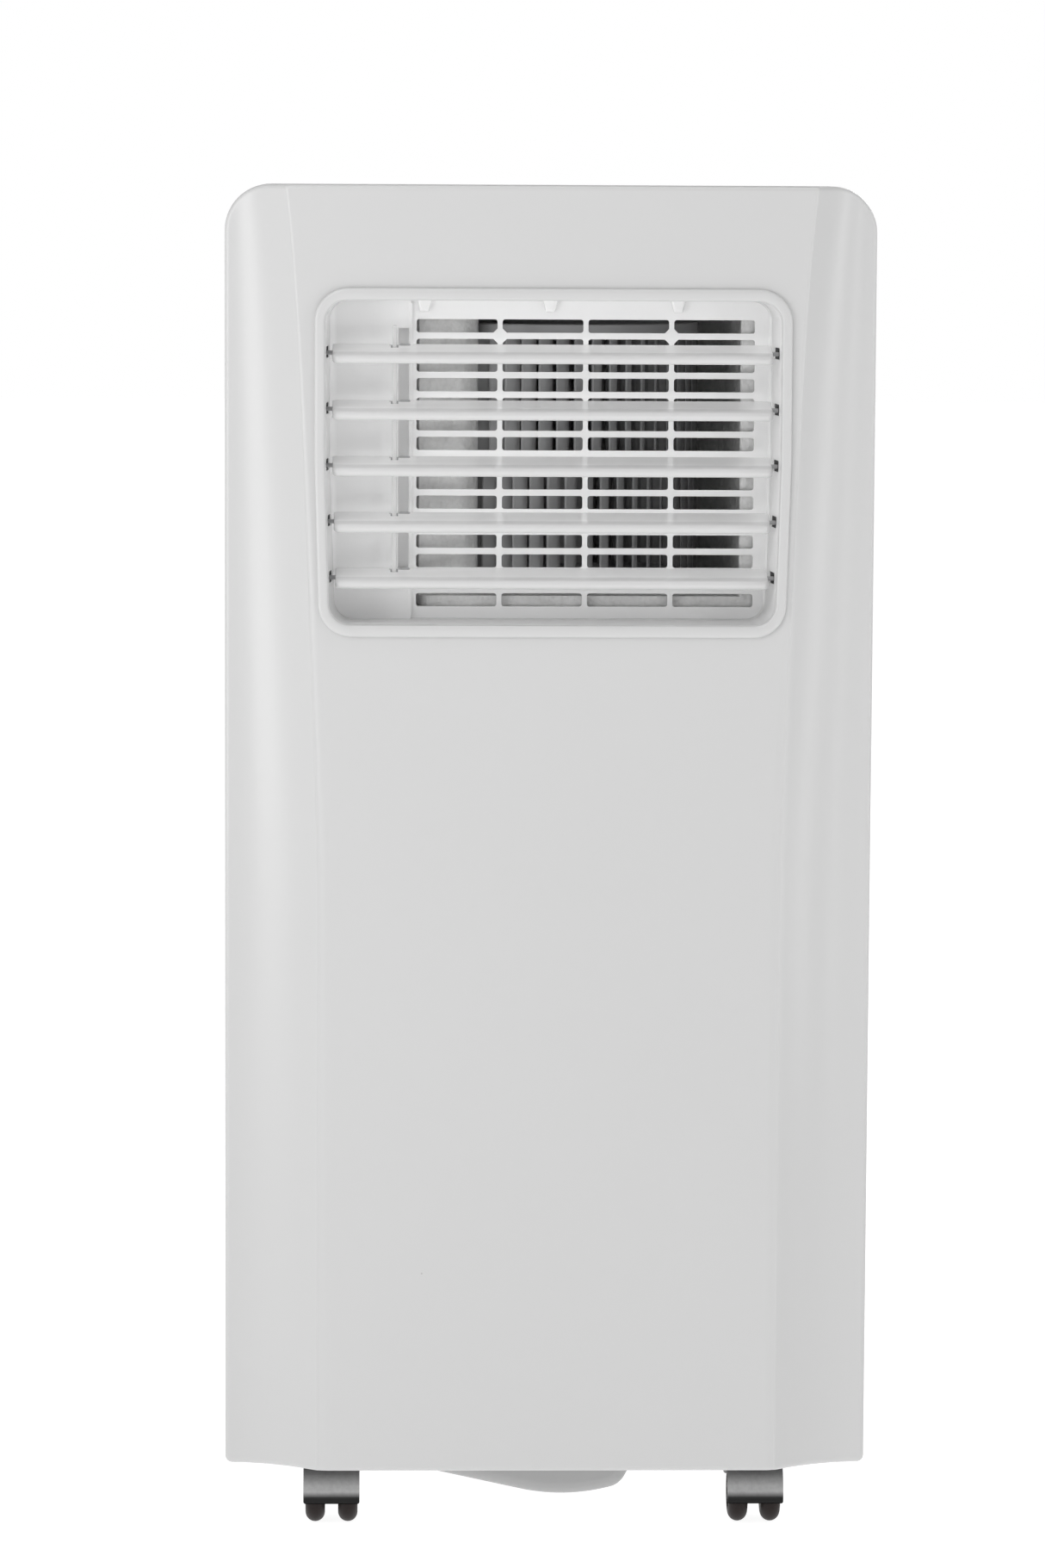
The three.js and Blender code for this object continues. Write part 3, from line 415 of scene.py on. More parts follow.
def hood_material():
    """Smoked grey paint with painted light on it: palest low on the hood as a painted highlight, darker above
    as painted shade, and a black lip at the bottom that is painted shade; mottled like a moulded grain.
    """
    nodes = Nodes("caster_hood")
    # Painted light by height: the black lip is painted shade where the hood curls under, the pale band a
    # painted highlight, and the darkening above it painted shade.
    lip = [(0.17, 0.002), (0.21, 0.015), (0.27, 0.2)]
    painted_highlight_and_shade = [(0.33, 0.42), (0.44, 0.40), (0.66, 0.16), (0.9, 0.05)]
    tone = nodes.ramp(nodes.along("Z", 11 * MM, 37 * MM), lip + painted_highlight_and_shade)
    mottle = nodes.ramp(nodes.noise(420.0, 5.0), [(0.3, 0.84), (0.7, 1.0)])
    nodes.normal(nodes.bump(nodes.noise(600.0, 2.0), 0.04 * MM, 0.4))
    nodes.shader.inputs["Specular IOR Level"].default_value = 0.25
    return nodes.set(Base_Color=nodes.mix(1.0, tone, mottle, "MULTIPLY"), Roughness=0.42)


def blade_material():
    """Polished white of the louvres with painted light and shade: greyer round the nose as painted shade,
    lighter towards the rear edge as painted light on the top face.
    """
    nodes = Nodes("white_blade")
    # Painted shade on the nose, fading into painted light towards the blade's rear edge.
    tone = nodes.ramp(nodes.along("Y", FRONT + 4 * MM, FRONT + 12 * MM), [(0.0, 0.56), (1.0, 0.88)])
    nodes.normal(nodes.bump(nodes.noise(400.0, 2.0), 0.005 * MM, 0.35))
    return nodes.set(Base_Color=tone, Roughness=0.18)


def board_material():
    nodes = Nodes("circuit_board")
    laminate, track = (0.03, 0.16, 0.08), (0.08, 0.27, 0.14)
    tracks = nodes.ramp(nodes.cells(260.0, randomness=0.4), [(0.42, laminate), (0.46, track)])
    nodes.normal(nodes.bump(nodes.noise(800.0), 0.05 * MM, 0.4))
    return nodes.set(Base_Color=tracks, Roughness=0.45)


def fin_material():
    """Packed fins: fine bright edges with dark gaps, the dark gaps being painted shade between the fins."""
    nodes = Nodes("fin_pack")
    wave = nodes.add("ShaderNodeTexWave")
    wave.bands_direction = "X"
    wave.inputs["Scale"].default_value = 160.0
    nodes.link(nodes.place, wave.inputs["Vector"])
    # Dark bands are painted shade in the gaps between the fins; the light bands are the fins' metal edges.
    tone = nodes.ramp(wave.outputs["Fac"], [(0.25, (0.06, 0.06, 0.065)), (0.7, (0.72, 0.73, 0.74))])
    nodes.normal(nodes.bump(wave.outputs["Fac"], 0.6 * MM, 0.8))
    return nodes.set(Base_Color=tone, Roughness=0.35, Metallic=0.85)


def window_material():
    nodes = Nodes("smoked_window")
    rough = nodes.ramp(nodes.noise(30.0, 5.0), [(0.3, 0.06), (0.7, 0.10)])
    tone = nodes.mix(nodes.noise(9.0, 2.0), (0.010, 0.011, 0.013), (0.014, 0.015, 0.018))
    nodes.shader.inputs["Coat Weight"].default_value = 0.4
    return nodes.set(Base_Color=tone, Roughness=rough)


CASING = moulded("white_casing", (0.515, 0.515, 0.515), 0.3, 0.02 * MM, dust=0.35)
BEAD = moulded("white_bezel", (0.515, 0.515, 0.515), 0.3, 0.01 * MM, scale=400.0)
# A copy of the white plastic far brighter than the casing, for the blind wall, the grille, its edge strip and
# lugs: painted light in the recess.
GLOSS_PAINTED_LIGHT = moulded("white_gloss_painted_light", (0.9, 0.9, 0.9), 0.2, 0.01 * MM, scale=400.0)
# The louvre link's copy of the white plastic: brighter than the casing as painted light in the recess, and
# dimmer than the grille as painted shade.
LINK_PAINTED_LIGHT = moulded("white_link_painted_light", (0.64, 0.64, 0.64), 0.24, 0.01 * MM, scale=400.0)
# The recess walls' copy of the white plastic: brighter than the casing as painted light in the recess, and
# dimmer than the grille as painted shade where the key light falls on the right wall.
RECESS_PAINTED_LIGHT = moulded("white_recess_painted_light", (0.76, 0.76, 0.76), 0.24, 0.01 * MM, scale=400.0)
BLADE = blade_material()
# The base pan is a darker grey than the casing: painted shade beneath the unit, which the glowing floor would
# otherwise light up.
PAN_PAINTED_SHADE = moulded("grey_pan_painted_shade", (0.36, 0.36, 0.36), 0.4, 0.03 * MM)
KEYS = moulded("grey_keys", (0.66, 0.665, 0.67), 0.3, 0.02 * MM)
FAN = moulded("grey_fan", (0.36, 0.36, 0.365), 0.42, 0.03 * MM)
DARK = moulded("dark_fan", (0.045, 0.046, 0.05), 0.45, 0.03 * MM)
HOOD = hood_material()
WHEEL = moulded("caster_wheel", (0.014, 0.009, 0.008), 0.5, 0.05 * MM, scale=500.0, shine=0.2)
RUBBER = moulded("black_rubber", (0.02, 0.02, 0.021), 0.7, 0.08 * MM, scale=500.0)
FOAM = foam_material()
STEEL = sheet_metal("zinc_sheet", (0.58, 0.59, 0.60), 0.32)
COPPER = sheet_metal("copper_tube", (0.80, 0.40, 0.25), 0.24)
BLACK_STEEL = moulded("black_paint", (0.018, 0.018, 0.02), 0.32, 0.04 * MM)
BOARD = board_material()
FINS = fin_material()
WINDOW = window_material()


# ---------------------------------------------------------------- camera, floor and light
def make_camera():
    """A long lens just above the top of the unit, a little to its left, looking gently down."""
    camera = bpy.data.objects.new("camera", bpy.data.cameras.new("camera"))
    scene.collection.objects.link(camera)
    camera.data.sensor_width = 36.0
    camera.data.lens = 132.3
    camera.data.clip_end = 30.0
    camera.location = (-0.0923, FRONT - 2.9, 0.708)
    yaw, pitch, roll = math.radians(1.55), math.radians(6.19), math.radians(0.288)
    aim = Matrix.Rotation(-yaw, 4, "Z") @ Matrix.Rotation(math.pi / 2 - pitch, 4, "X")
    camera.rotation_euler = (aim @ Matrix.Rotation(roll, 4, "Z")).to_euler()
    scene.camera = camera


def make_studio():
    """A glowing white floor that glows a little less under the unit as a painted shadow, a pale horizon under
    a dimmer ceiling, and six soft lights.
    """
    sides, reach_out = 96, 14
    turns = [math.pi / 48 * k for k in range(sides)]
    outline = [lay((reach_out * math.cos(t), reach_out * math.sin(t)), 0, "z") for t in turns]
    floor = object_of("floor", Shape().add(outline, [list(range(sides))]))
    nodes = Nodes("studio_floor")
    reach = nodes.add("ShaderNodeVectorMath", operation="LENGTH")
    nodes.link(nodes.place, reach.inputs[0])
    # The floor's glow dips from 0.95 to 0.90 close under the unit: a painted shadow.
    limits = {"From Min": 0.12, "From Max": 0.36, "To Min": 0.90, "To Max": 0.95}
    glow_with_painted_shadow = nodes.add("ShaderNodeMapRange", **limits)
    nodes.link(reach.outputs["Value"], glow_with_painted_shadow.inputs["Value"])
    nodes.link(glow_with_painted_shadow.outputs["Result"], nodes.shader.inputs["Emission Strength"])
    nodes.shader.inputs["Specular IOR Level"].default_value = 0.1
    nodes.shader.inputs["Emission Color"].default_value = (1, 1, 1, 1)
    floor.data.materials.append(nodes.set(Base_Color=(0.45, 0.45, 0.45), Roughness=0.9))

    world = bpy.data.worlds.new("studio")
    world.use_nodes = True
    scene.world = world
    tree = world.node_tree
    place = tree.nodes.new("ShaderNodeTexCoord")
    split = tree.nodes.new("ShaderNodeSeparateXYZ")
    tree.links.new(place.outputs["Generated"], split.inputs["Vector"])
    strength = tree.nodes.new("ShaderNodeMath")
    strength.operation = "MULTIPLY"
    for k, (axis, limits) in enumerate((("Z", (0.09, 0.35, 1.0, 0.18)), ("Y", (-0.1, 0.1, 0.58, 1.0)))):
        fade = tree.nodes.new("ShaderNodeMapRange")
        for name, value in zip(("From Min", "From Max", "To Min", "To Max"), limits):
            fade.inputs[name].default_value = value
        tree.links.new(split.outputs[axis], fade.inputs["Value"])
        tree.links.new(fade.outputs["Result"], strength.inputs[k])
    tree.links.new(strength.outputs["Value"], tree.nodes["Background"].inputs["Strength"])
    tree.nodes["Background"].inputs["Color"].default_value = (1, 1, 1, 1)

    def area(name, place, target, size, power):
        light = bpy.data.objects.new(name, bpy.data.lights.new(name, "AREA"))
        scene.collection.objects.link(light)
        light.data.shape = "RECTANGLE"
        light.data.size, light.data.size_y = size
        light.data.energy = power
        light.location = place
        light.visible_camera = False
        light.rotation_euler = (Vector(target) - Vector(place)).to_track_quat("-Z", "Y").to_euler()

    area("key", (-0.85, -0.85, 0.62), (0, 0, 0.45), (0.45, 0.9), 4.3)
    area("right", (1.45, -0.62, 0.85), (0, 0, 0.5), (0.3, 1.7), 5.0)
    area("right_rim", (1.2, -1.35, 0.5), (0, 0, 0.5), (0.05, 1.6), 2.2)
    area("front", (-0.9, -2.6, 2.4), (0, 0, 0.5), (1.4, 1.4), 26)
    area("top", (0.0, -0.5, 3.4), (0, 0, 0), (2.6, 2.6), 40)
    area("back", (1.8, 3.0, 1.9), (0, 0, 0.4), (1.8, 1.2), 30)
    scene.view_settings.view_transform = "Standard"
    scene.view_settings.look = "None"


# ---------------------------------------------------------------- front panel
WALL = 2.5 * MM
WING_DEPTH = 20 * MM
WING_POWER = 2.05
RIDGE_LOW = 117 * MM
RIDGE_FLARE = 350 * MM  # the height from which the ridges spread
RIDGE_SPREAD = 13.5 * MM
RIDGE_FLICK = 3.5 * MM  # and a last flick outwards at the top


def ridge_x(z):
    """Half the distance between the two ridges at a height."""
    t = min(max((z - RIDGE_FLARE) / (PANEL_HI.z - RIDGE_FLARE), 0), 1)
    return RIDGE_LOW + RIDGE_SPREAD * t**1.1 + RIDGE_FLICK * t**9


def ridge_softness(z):
    """The ridge is crisp at the top and rounds off on its way down."""
    t = min(max((z - 380 * MM) / (270 * MM), 0), 1)
    return (5.0 - 3.8 * t) * MM


def wing_depth(x, z):
    """How far behind the flat front face the surface lies."""
    ridge, soft = ridge_x(z), ridge_softness(z)
    width = PANEL_HI.x - ridge
    past = abs(x) - ridge
    slope = WING_DEPTH * WING_POWER / width
    if past <= -soft:
        return 0.0
    curved = WING_DEPTH * (1 - (1 - min(max(past, 0) / width, 1)) ** WING_POWER)
    if past >= soft:
        return curved
    eased = slope * (past + soft) ** 2 / (4 * soft)
    blend = (past + soft) / (2 * soft)
    return eased * (1 - blend) + max(curved, 0) * blend if past > 0 else eased


def spread(low, high, count):
    return [low + (high - low) * k / count for k in range(count)]


def front_panel():
    half, top, bottom = PANEL_HI.x, PANEL_HI.z, PANEL_LO.z
    top_r, low_r, edge = 23.5 * MM, 3.5 * MM, 2.4 * MM
    outline = []
    for k in range(5):
        turn = -math.pi / 2 + math.pi / 2 * k / 4
        outline.append((half - low_r, bottom + low_r, math.cos(turn), math.sin(turn), low_r))
    for z in spread(bottom + low_r, top - top_r, 44)[1:]:
        outline.append((half, z, 1.0, 0.0, 0.0))
    for k in range(15):
        turn = math.pi / 2 * k / 14
        outline.append((half - top_r, top - top_r, math.cos(turn), math.sin(turn), top_r))
    rows = []
    normals = []
    for cx, cz, nx, nz, r in outline:
        x, z = cx + (r - edge) * nx, cz + (r - edge) * nz
        ridge, soft = ridge_x(z), ridge_softness(z)
        side = spread(0, ridge - soft, 8) + spread(ridge - soft, ridge + soft, 9)
        side += spread(ridge + soft, x, 15) + [x]
        line = [-s for s in side[:0:-1]] + side
        rows.append([Vector((s, FRONT + wing_depth(s, z), z)) for s in line])
        normals.append((nx, nz))
    columns = len(rows[0])
    last = len(rows) - 1
    verts = [p for row in rows for p in row]
    faces = strips(len(rows), columns)
    rim = [(c, (0, -1)) for c in range(columns)]
    rim += [(r * columns + columns - 1, normals[r]) for r in range(1, last)]
    rim += [(last * columns + c, (0, 1)) for c in range(columns - 1, -1, -1)]
    rim += [(r * columns, (-normals[r][0], normals[r][1])) for r in range(last - 1, 0, -1)]
    ring = [i for i, _ in rim]
    turns = [math.pi / 2 * k / 5 for k in range(1, 6)]
    bends = [(edge * math.sin(t), edge * (1 - math.cos(t))) for t in turns]
    rings = [[verts[i] + Vector((n[0] * out, back, n[1] * out)) for i, n in rim] for out, back in bends]
    for share in (0.33, 0.66, 1.0):
        skirt = []
        for i, n in rim:
            y = verts[i].y + edge
            skirt.append(Vector((verts[i].x + n[0] * edge, y + (SEAM - y) * share, verts[i].z + n[1] * edge)))
        rings.append(skirt)
    for points in rings:
        start = len(verts)
        verts += points
        for k in range(len(rim)):
            ahead = (k + 1) % len(rim)
            faces.append([ring[k], ring[ahead], start + ahead, start + k])
        ring = list(range(start, start + len(rim)))
    made = object_of("front_panel_shell", Shape().add(verts, faces))
    shell = made.modifiers.new("shell", "SOLIDIFY")
    shell.thickness = WALL
    shell.offset = -1
    shell.use_even_offset = False
    apply(made)
    outward(made)
    cut(made, loft([[lay(p, y, "y") for p in bezel_loop(0.5)] for y in (FRONT - 5 * MM, FRONT + 9 * MM)]))
    finish_piece(made, CASING, replaces="front_panel")


# ---------------------------------------------------------------- air outlet
BEZEL = {"side": 5.3 * MM, "end": 6.2 * MM, "low": 117.9 * MM, "bend": 556 * MM, "radius": 17 * MM}
RECESS = 34 * MM


def bezel_loop(share, extra=0.0, steps=14):
    """Points round the bezel: share 0 is its outer edge, 1 its inner edge; extra goes further in."""
    side, end = share * BEZEL["side"] + extra, share * BEZEL["end"] + 0.2 * extra
    r = max(BEZEL["radius"] - (side + end) / 2, 0.5 * MM)
    half, low = BEZEL_HALF - side, BEZEL["low"] - side
    x, bend = BEZEL_X, BEZEL["bend"]
    return rounded([
        (x - low, BEZEL_LO.z + end, r), (x + low, BEZEL_LO.z + end, r), (x + half, bend, 0),
        (x + half, BEZEL_HI.z - end, r), (x - half, BEZEL_HI.z - end, r), (x - half, bend, 0)], 0, steps)


def bezel_ring(profile):
    """A closed ring through stations (share, extra, depth behind the front) of the bezel's outline."""
    loops = [[lay(p, FRONT + y, "y") for p in bezel_loop(share, extra)] for share, extra, y in profile]
    return loft(loops, ring=True)


def pivot_bushes():
    """Black inserts just behind the recess walls, bored for the louvre pins."""
    bushes, bores = Shape(), Shape()
    for i in range(1, 6):
        _, y, z = JOINTS[f"louver_{i}_tilt"]["pos_m"]
        lean = max(0.0, BEZEL["bend"] - z) / (BEZEL["bend"] - BEZEL_LO.z)
        half = BEZEL_HALF - BEZEL["side"] - lean * (BEZEL_HALF - BEZEL["low"])
        for side in (-1, 1):
            section = ((8, 0.2), (15, 0.7), (26, 1.65), (26, -1.4), (8, -1.4))
            plan = [(BEZEL_X + side * (half - draft * MM), FRONT + back * MM) for back, draft in section]
            levels = (z - 4 * MM, z + 5 * MM)
            bushes.join(loft([[Vector((a, b, level)) for a, b in plan] for level in levels]))
        reach = BEZEL_HALF + 9 * MM
        bores.join(disc(1.75 * MM, -reach, reach, 0, (0, y, z), "x", 24))
    made = object_of("outlet_pivot_bushes", bushes)
    cut(made, bores)
    finish_piece(made, RUBBER)


def outlet_frame():
    """The bead, the drafted recess walls behind it and the blind wall on the left."""
    proud = FRONT - BEZEL_LO.y
    profile = [(0.06, 0.0, 0.4 * MM), (0.0, 0.0, 0.1 * MM)]
    for k in range(17):
        turn = math.pi * k / 16
        arch = math.copysign(abs(math.cos(turn)) ** 0.7, math.cos(turn))
        profile.append((0.5 - 0.5 * arch, 0.0, -0.2 * MM - (proud - 0.2 * MM) * math.sin(turn) ** 0.5))
    profile += [(1.0, 0.0, 1.2 * MM), (0.6, 0.0, 1.2 * MM), (0.6, 0.0, 3 * MM)]
    piece("outlet_bezel", bezel_ring(profile), BEAD, replaces="outlet_frame", weighted=False)
    back = RECESS + 0.2 * MM
    walls = [
        (1.0, 0.0, 0.9 * MM), (1.0, 1.0 * MM, 15 * MM), (1.0, 2.4 * MM, back - 3 * MM),
        (1.0, 3.0 * MM, back - 1 * MM), (1.0, 4.6 * MM, back), (1.0, 4.6 * MM, back + 3 * MM),
        (0.7, 0, back + 3 * MM), (0.7, 0.0, 0.9 * MM)]
    made = object_of("outlet_recess", bezel_ring(walls))
    slots = Shape()
    for i in range(1, 6):
        z = JOINTS[f"louver_{i}_tilt"]["pos_m"][2]
        for side in (-1, 1):
            x = BEZEL_X + side * BEZEL_HALF
            slot = rectangle(FRONT + 9 * MM, FRONT + 25 * MM, z - 2.6 * MM, z + 3.2 * MM, 1.2 * MM)
            slots.join(plate(slot, x - 14 * MM, x + 14 * MM, "x"))
    cut(made, slots)
    finish_piece(made, RECESS_PAINTED_LIGHT)
    pivot_bushes()
    outlet_blind_wall()


def outlet_blind_wall():
    """The closed wall left of the grille, with the sunk channel that the louvre link runs in."""
    low = BEZEL_LO.z + 4 * MM
    high = BEZEL_HI.z - 4 * MM
    back = FRONT + RECESS - 1.6 * MM
    wall = BEZEL_LO.x + BEZEL["side"] + 2.1 * MM
    right = GRILLE_LO.x + 1.2 * MM
    fillet = 4.0 * MM
    rear = back + 5.6 * MM
    edge = back - fillet - 4 * MM
    plan = [(wall - 1.5 * MM, rear), (wall - 1.5 * MM, edge), (wall - 0.4 * MM, edge)]
    for k in range(9):
        turn = math.pi / 2 * k / 8
        plan.append((wall + fillet * (1 - math.cos(turn)), back - fillet + fillet * math.sin(turn)))
    plan += [(right, back), (right, rear)]
    made = object_of("outlet_blind_wall", loft([[Vector((a, b, z)) for a, b in plan] for z in (low, high)]))
    near, far = (-77.1 * MM, back - 9 * MM, 499 * MM), (-70.3 * MM, back + 5.2 * MM, 622.5 * MM)
    channel = block(near, far, 0.3 * MM)
    cut(made, channel)
    finish_piece(made, GLOSS_PAINTED_LIGHT)


SLOT = {"x": -67.8 * MM, "z": 627 * MM, "w": 41.05 * MM, "h": 6.75 * MM, "r": 1.3 * MM}
SLOT_PITCH_X, SLOT_PITCH_Z = 43.65 * MM, 9.957 * MM
COLUMNS, ROWS = 4, 15
WEB = 2.1 * MM  # the corner that a web fills in a slot


def outlet_grille():
    """The fixed safety grille: rounded slots, webs in some crossings, a left edge strip and lugs on top."""
    front, back = GRILLE_FRONT, GRILLE_HI.y
    left = GRILLE_LO.x
    outline = [(max(p.x, left), p.y) for p in bezel_loop(1.0, 2.2 * MM)]
    made = object_of("outlet_grille_plate", loft([[lay(p, y, "y") for p in outline] for y in (front, back)]))
    slots = Shape()
    for row in range(ROWS):
        for column in range(COLUMNS):
            x0 = SLOT["x"] + column * SLOT_PITCH_X
            z1 = SLOT["z"] - row * SLOT_PITCH_Z
            x1, z0 = x0 + SLOT["w"], z1 - SLOT["h"]
            corners = [(x0, z0), (x1, z0), (x1, z1), (x0, z1)]
            webbed = {0: (0, 1), 1: (2, 3)}.get(row, ())
            outline = []
            for k, (a, b) in enumerate(corners):
                inner = (k in (1, 2)) == (column in (0, 2))
                if k in webbed and inner:
                    dx = -WEB if k in (1, 2) else WEB
                    dz = WEB if k in (0, 1) else -WEB
                    pair = [(a + dx, b, 0.6 * MM), (a, b + dz, 0.6 * MM)]
                    outline += pair if k in (1, 3) else pair[::-1]
                else:
                    outline.append((a, b, SLOT["r"]))
            slots.join(plate(outline, front - 3 * MM, back + 3 * MM, "y", steps=4))
    cut(made, slots)
    bevel(made, 0.45 * MM, 2, 60)
    finish_piece(made, GLOSS_PAINTED_LIGHT, replaces="outlet_grille")
    low, high = BEZEL_LO.z + 8 * MM, BEZEL_HI.z - 8 * MM
    strip = block((left, front - 1.7 * MM, low), (left + 1.9 * MM, front + 1 * MM, high), 0.5 * MM)
    piece("outlet_grille_edge", strip, GLOSS_PAINTED_LIGHT)
    lugs = Shape()
    for x in (-64 * MM, 0.0, 65 * MM):
        outline = [(x - 2.3 * MM, 630.6 * MM, 1.3 * MM), (x + 2.3 * MM, 630.6 * MM, 1.3 * MM),
                   (x + 4.4 * MM, 638 * MM, 0.5 * MM), (x - 4.0 * MM, 638 * MM, 0.5 * MM)]
        lugs.join(plate(outline, front - 3.2 * MM, front + 1 * MM, "y", 1.1 * MM, low_edge=1.5 * MM))
    piece("outlet_grille_lugs", lugs, GLOSS_PAINTED_LIGHT)


LOUVER = {"front": -12 * MM, "back": 12 * MM, "nose": 2.4 * MM, "tail": 0.9 * MM, "tilt": math.radians(16.5)}
LINK_X = (-80.2 * MM, -77.8 * MM)


def louver_section(share):
    """Points (y, z) round the blade's section about its pivot: a full nose, then a taper to the rear edge."""
    nose = LOUVER["nose"] * (0.5 + 0.5 * share)
    thin = 0.6 + 0.4 * share
    front = LOUVER["front"] + LOUVER["nose"] * 1.15 * (1 - share)
    points = []
    for k in range(13):
        turn = math.pi / 2 + math.pi * k / 12
        points.append((front + nose + nose * math.cos(turn), nose * math.sin(turn)))
    points += [(front + nose + 3 * MM, -nose * 0.98), (0.0, -LOUVER["tail"] * 1.25 * thin)]
    tail = LOUVER["tail"] * thin
    for k in range(7):
        turn = -math.pi / 2 + math.pi * k / 6
        points.append((LOUVER["back"] - tail + tail * math.cos(turn), tail * math.sin(turn)))
    points += [(0.0, LOUVER["tail"] * 1.25 * thin), (front + nose + 3 * MM, nose * 0.98)]
    return points


def louver(index):
    name = f"louver_{index}"
    lo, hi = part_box(name)
    pivot = Vector(JOINTS[f"{name}_tilt"]["pos_m"])
    half = (hi.x - lo.x) / 2 - 5.3 * MM
    middle = (hi.x + lo.x) / 2
    corner = 2.6 * MM
    turns = [math.pi / 2 * k / 8 for k in range(9)]
    stations = [(half - corner * (1 - math.cos(t)), math.sin(t)) for t in turns]
    stations = [(-x, share) for x, share in stations] + [(0, 1)] + stations[::-1]
    blade = loft([[Vector((x, y, z)) for y, z in louver_section(share)] for x, share in stations])
    turn = Matrix.Translation(Vector((middle, pivot.y, pivot.z))) @ Matrix.Rotation(LOUVER["tilt"], 4, "X")
    made = object_of(f"{name}_blade", blade)
    low, high = LINK_X
    near, far = (low - 0.7 * MM - middle, 5 * MM, -4 * MM), (high + 0.7 * MM - middle, 14 * MM, 4 * MM)
    cut(made, block(near, far, 0.3 * MM))
    pins = Shape()
    for side in (-1, 1):
        base = side * (half - 0.3 * MM)
        tip = side * (half + 5.2 * MM)
        pins.join(disc(1.1 * MM, min(base, tip), max(base, tip), 0.2 * MM, axis="x", steps=24))
    _, link_y, link_z = JOINTS["link_pivot"]["pos_m"]
    _, hinge_y, hinge_z = JOINTS["louver_3_tilt"]["pos_m"]
    reach = math.hypot(link_y - hinge_y, link_z - hinge_z)
    ends = (low - middle - 1.5 * MM, high - middle + 1.5 * MM)
    pins.join(disc(1.05 * MM, *ends, 0.1 * MM, (0, reach, 0), "x", 20))
    ends = (high + 0.9 * MM - middle, high + 7 * MM - middle)
    pins.join(disc(1.6 * MM, *ends, 1.2 * MM, (0, reach + 0.4 * MM, 0), "x", 28))
    made.data.transform(turn)
    made = finish_piece(made, BLADE, body=name, replaces=name)
    piece(f"{name}_pins", pins.moved(turn), FAN, body=name, slot="gloss_white")


def louver_link():
    """The upright bar: a hook on top and a round eye on each crank pin."""
    lo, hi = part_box("louver_link")
    low, high = LINK_X
    y0, y1 = lo.y, hi.y
    made = object_of("louver_link_bar", block((low, y0, lo.z), (high, y1, hi.z), 0.6 * MM))
    pivot = Vector(JOINTS["link_pivot"]["pos_m"])
    eyes = Shape()
    for i in range(1, 6):
        z = JOINTS[f"louver_{i}_tilt"]["pos_m"][2] - JOINTS["louver_3_tilt"]["pos_m"][2] + pivot.z
        eyes.join(disc(1.3 * MM, low - 2 * MM, high + 2 * MM, 0, (0, pivot.y, z), "x", 24))
    hook = block((low, y0 - 1.2 * MM, hi.z - 1.4 * MM), (high, y0 + 1 * MM, hi.z - 0.1 * MM), 0.4 * MM)
    cut(made, eyes)
    finish_piece(made, LINK_PAINTED_LIGHT, body="louver_link", replaces="louver_link")
    piece("louver_link_hook", hook, LINK_PAINTED_LIGHT, body="louver_link")


# ---------------------------------------------------------------- evaporator blower
def evap_wheel():
    """A two-storey cage: forward-curved blades, staggered by half a pitch above and below the middle disc."""
    lo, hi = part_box("evap_wheel")
    x, y, _ = centre_of("evap_wheel")
    centre = Vector((x, y, 0))
    r = 70 * MM
    count = 48
    height = hi.z - lo.z
    middle = lo.z + height * 0.455
    shape = Shape()
    ring = [
        (r, hi.z - 5.6 * MM), (r, hi.z - 0.5 * MM), (r - 0.5 * MM, hi.z), (r - 11 * MM, hi.z),
        (r - 11.5 * MM, hi.z - 0.6 * MM), (r - 11.5 * MM, hi.z - 5.6 * MM)]
    band = [(r - a * MM, middle + b * MM) for a, b in ((0.3, -0.9), (0.3, 0.9), (14, 0.9), (14, -0.9))]
    base = [
        (2.8 * MM, lo.z), (r - 0.5 * MM, lo.z), (r, lo.z + 0.6 * MM), (r, lo.z + 2.2 * MM),
        (24 * MM, lo.z + 2.4 * MM), (15 * MM, lo.z + 6 * MM), (13 * MM, middle - 6 * MM),
        (2.8 * MM, middle - 6 * MM)]
    for profile in (ring, band, base):
        shape.join(turned(profile, 96, centre))
    root, reach, sweep, skin = r - 5.0 * MM, 4.6 * MM, 5.7 * MM, 0.5 * MM
    spine = [(root + reach * k / 5, -sweep * (k / 5) ** 1.25) for k in range(6)]
    section = [(a, b - skin) for a, b in spine] + [(a, b + skin) for a, b in spine[::-1]]
    for low, top, offset in ((lo.z + 1.5 * MM, middle, 0.5), (middle, hi.z - 3 * MM, 0.0)):
        for i in range(count):
            turn = 2 * math.pi * (i + offset) / count
            c, s = math.cos(turn), math.sin(turn)
            plan = [(a * c - b * s, a * s + b * c) for a, b in section]
            shape.join(loft([[centre + Vector((a, b, z)) for a, b in plan] for z in (low, top)]))
    piece("evap_wheel_cage", shape, FAN, body="evap_wheel", replaces="evap_wheel", weighted=False)


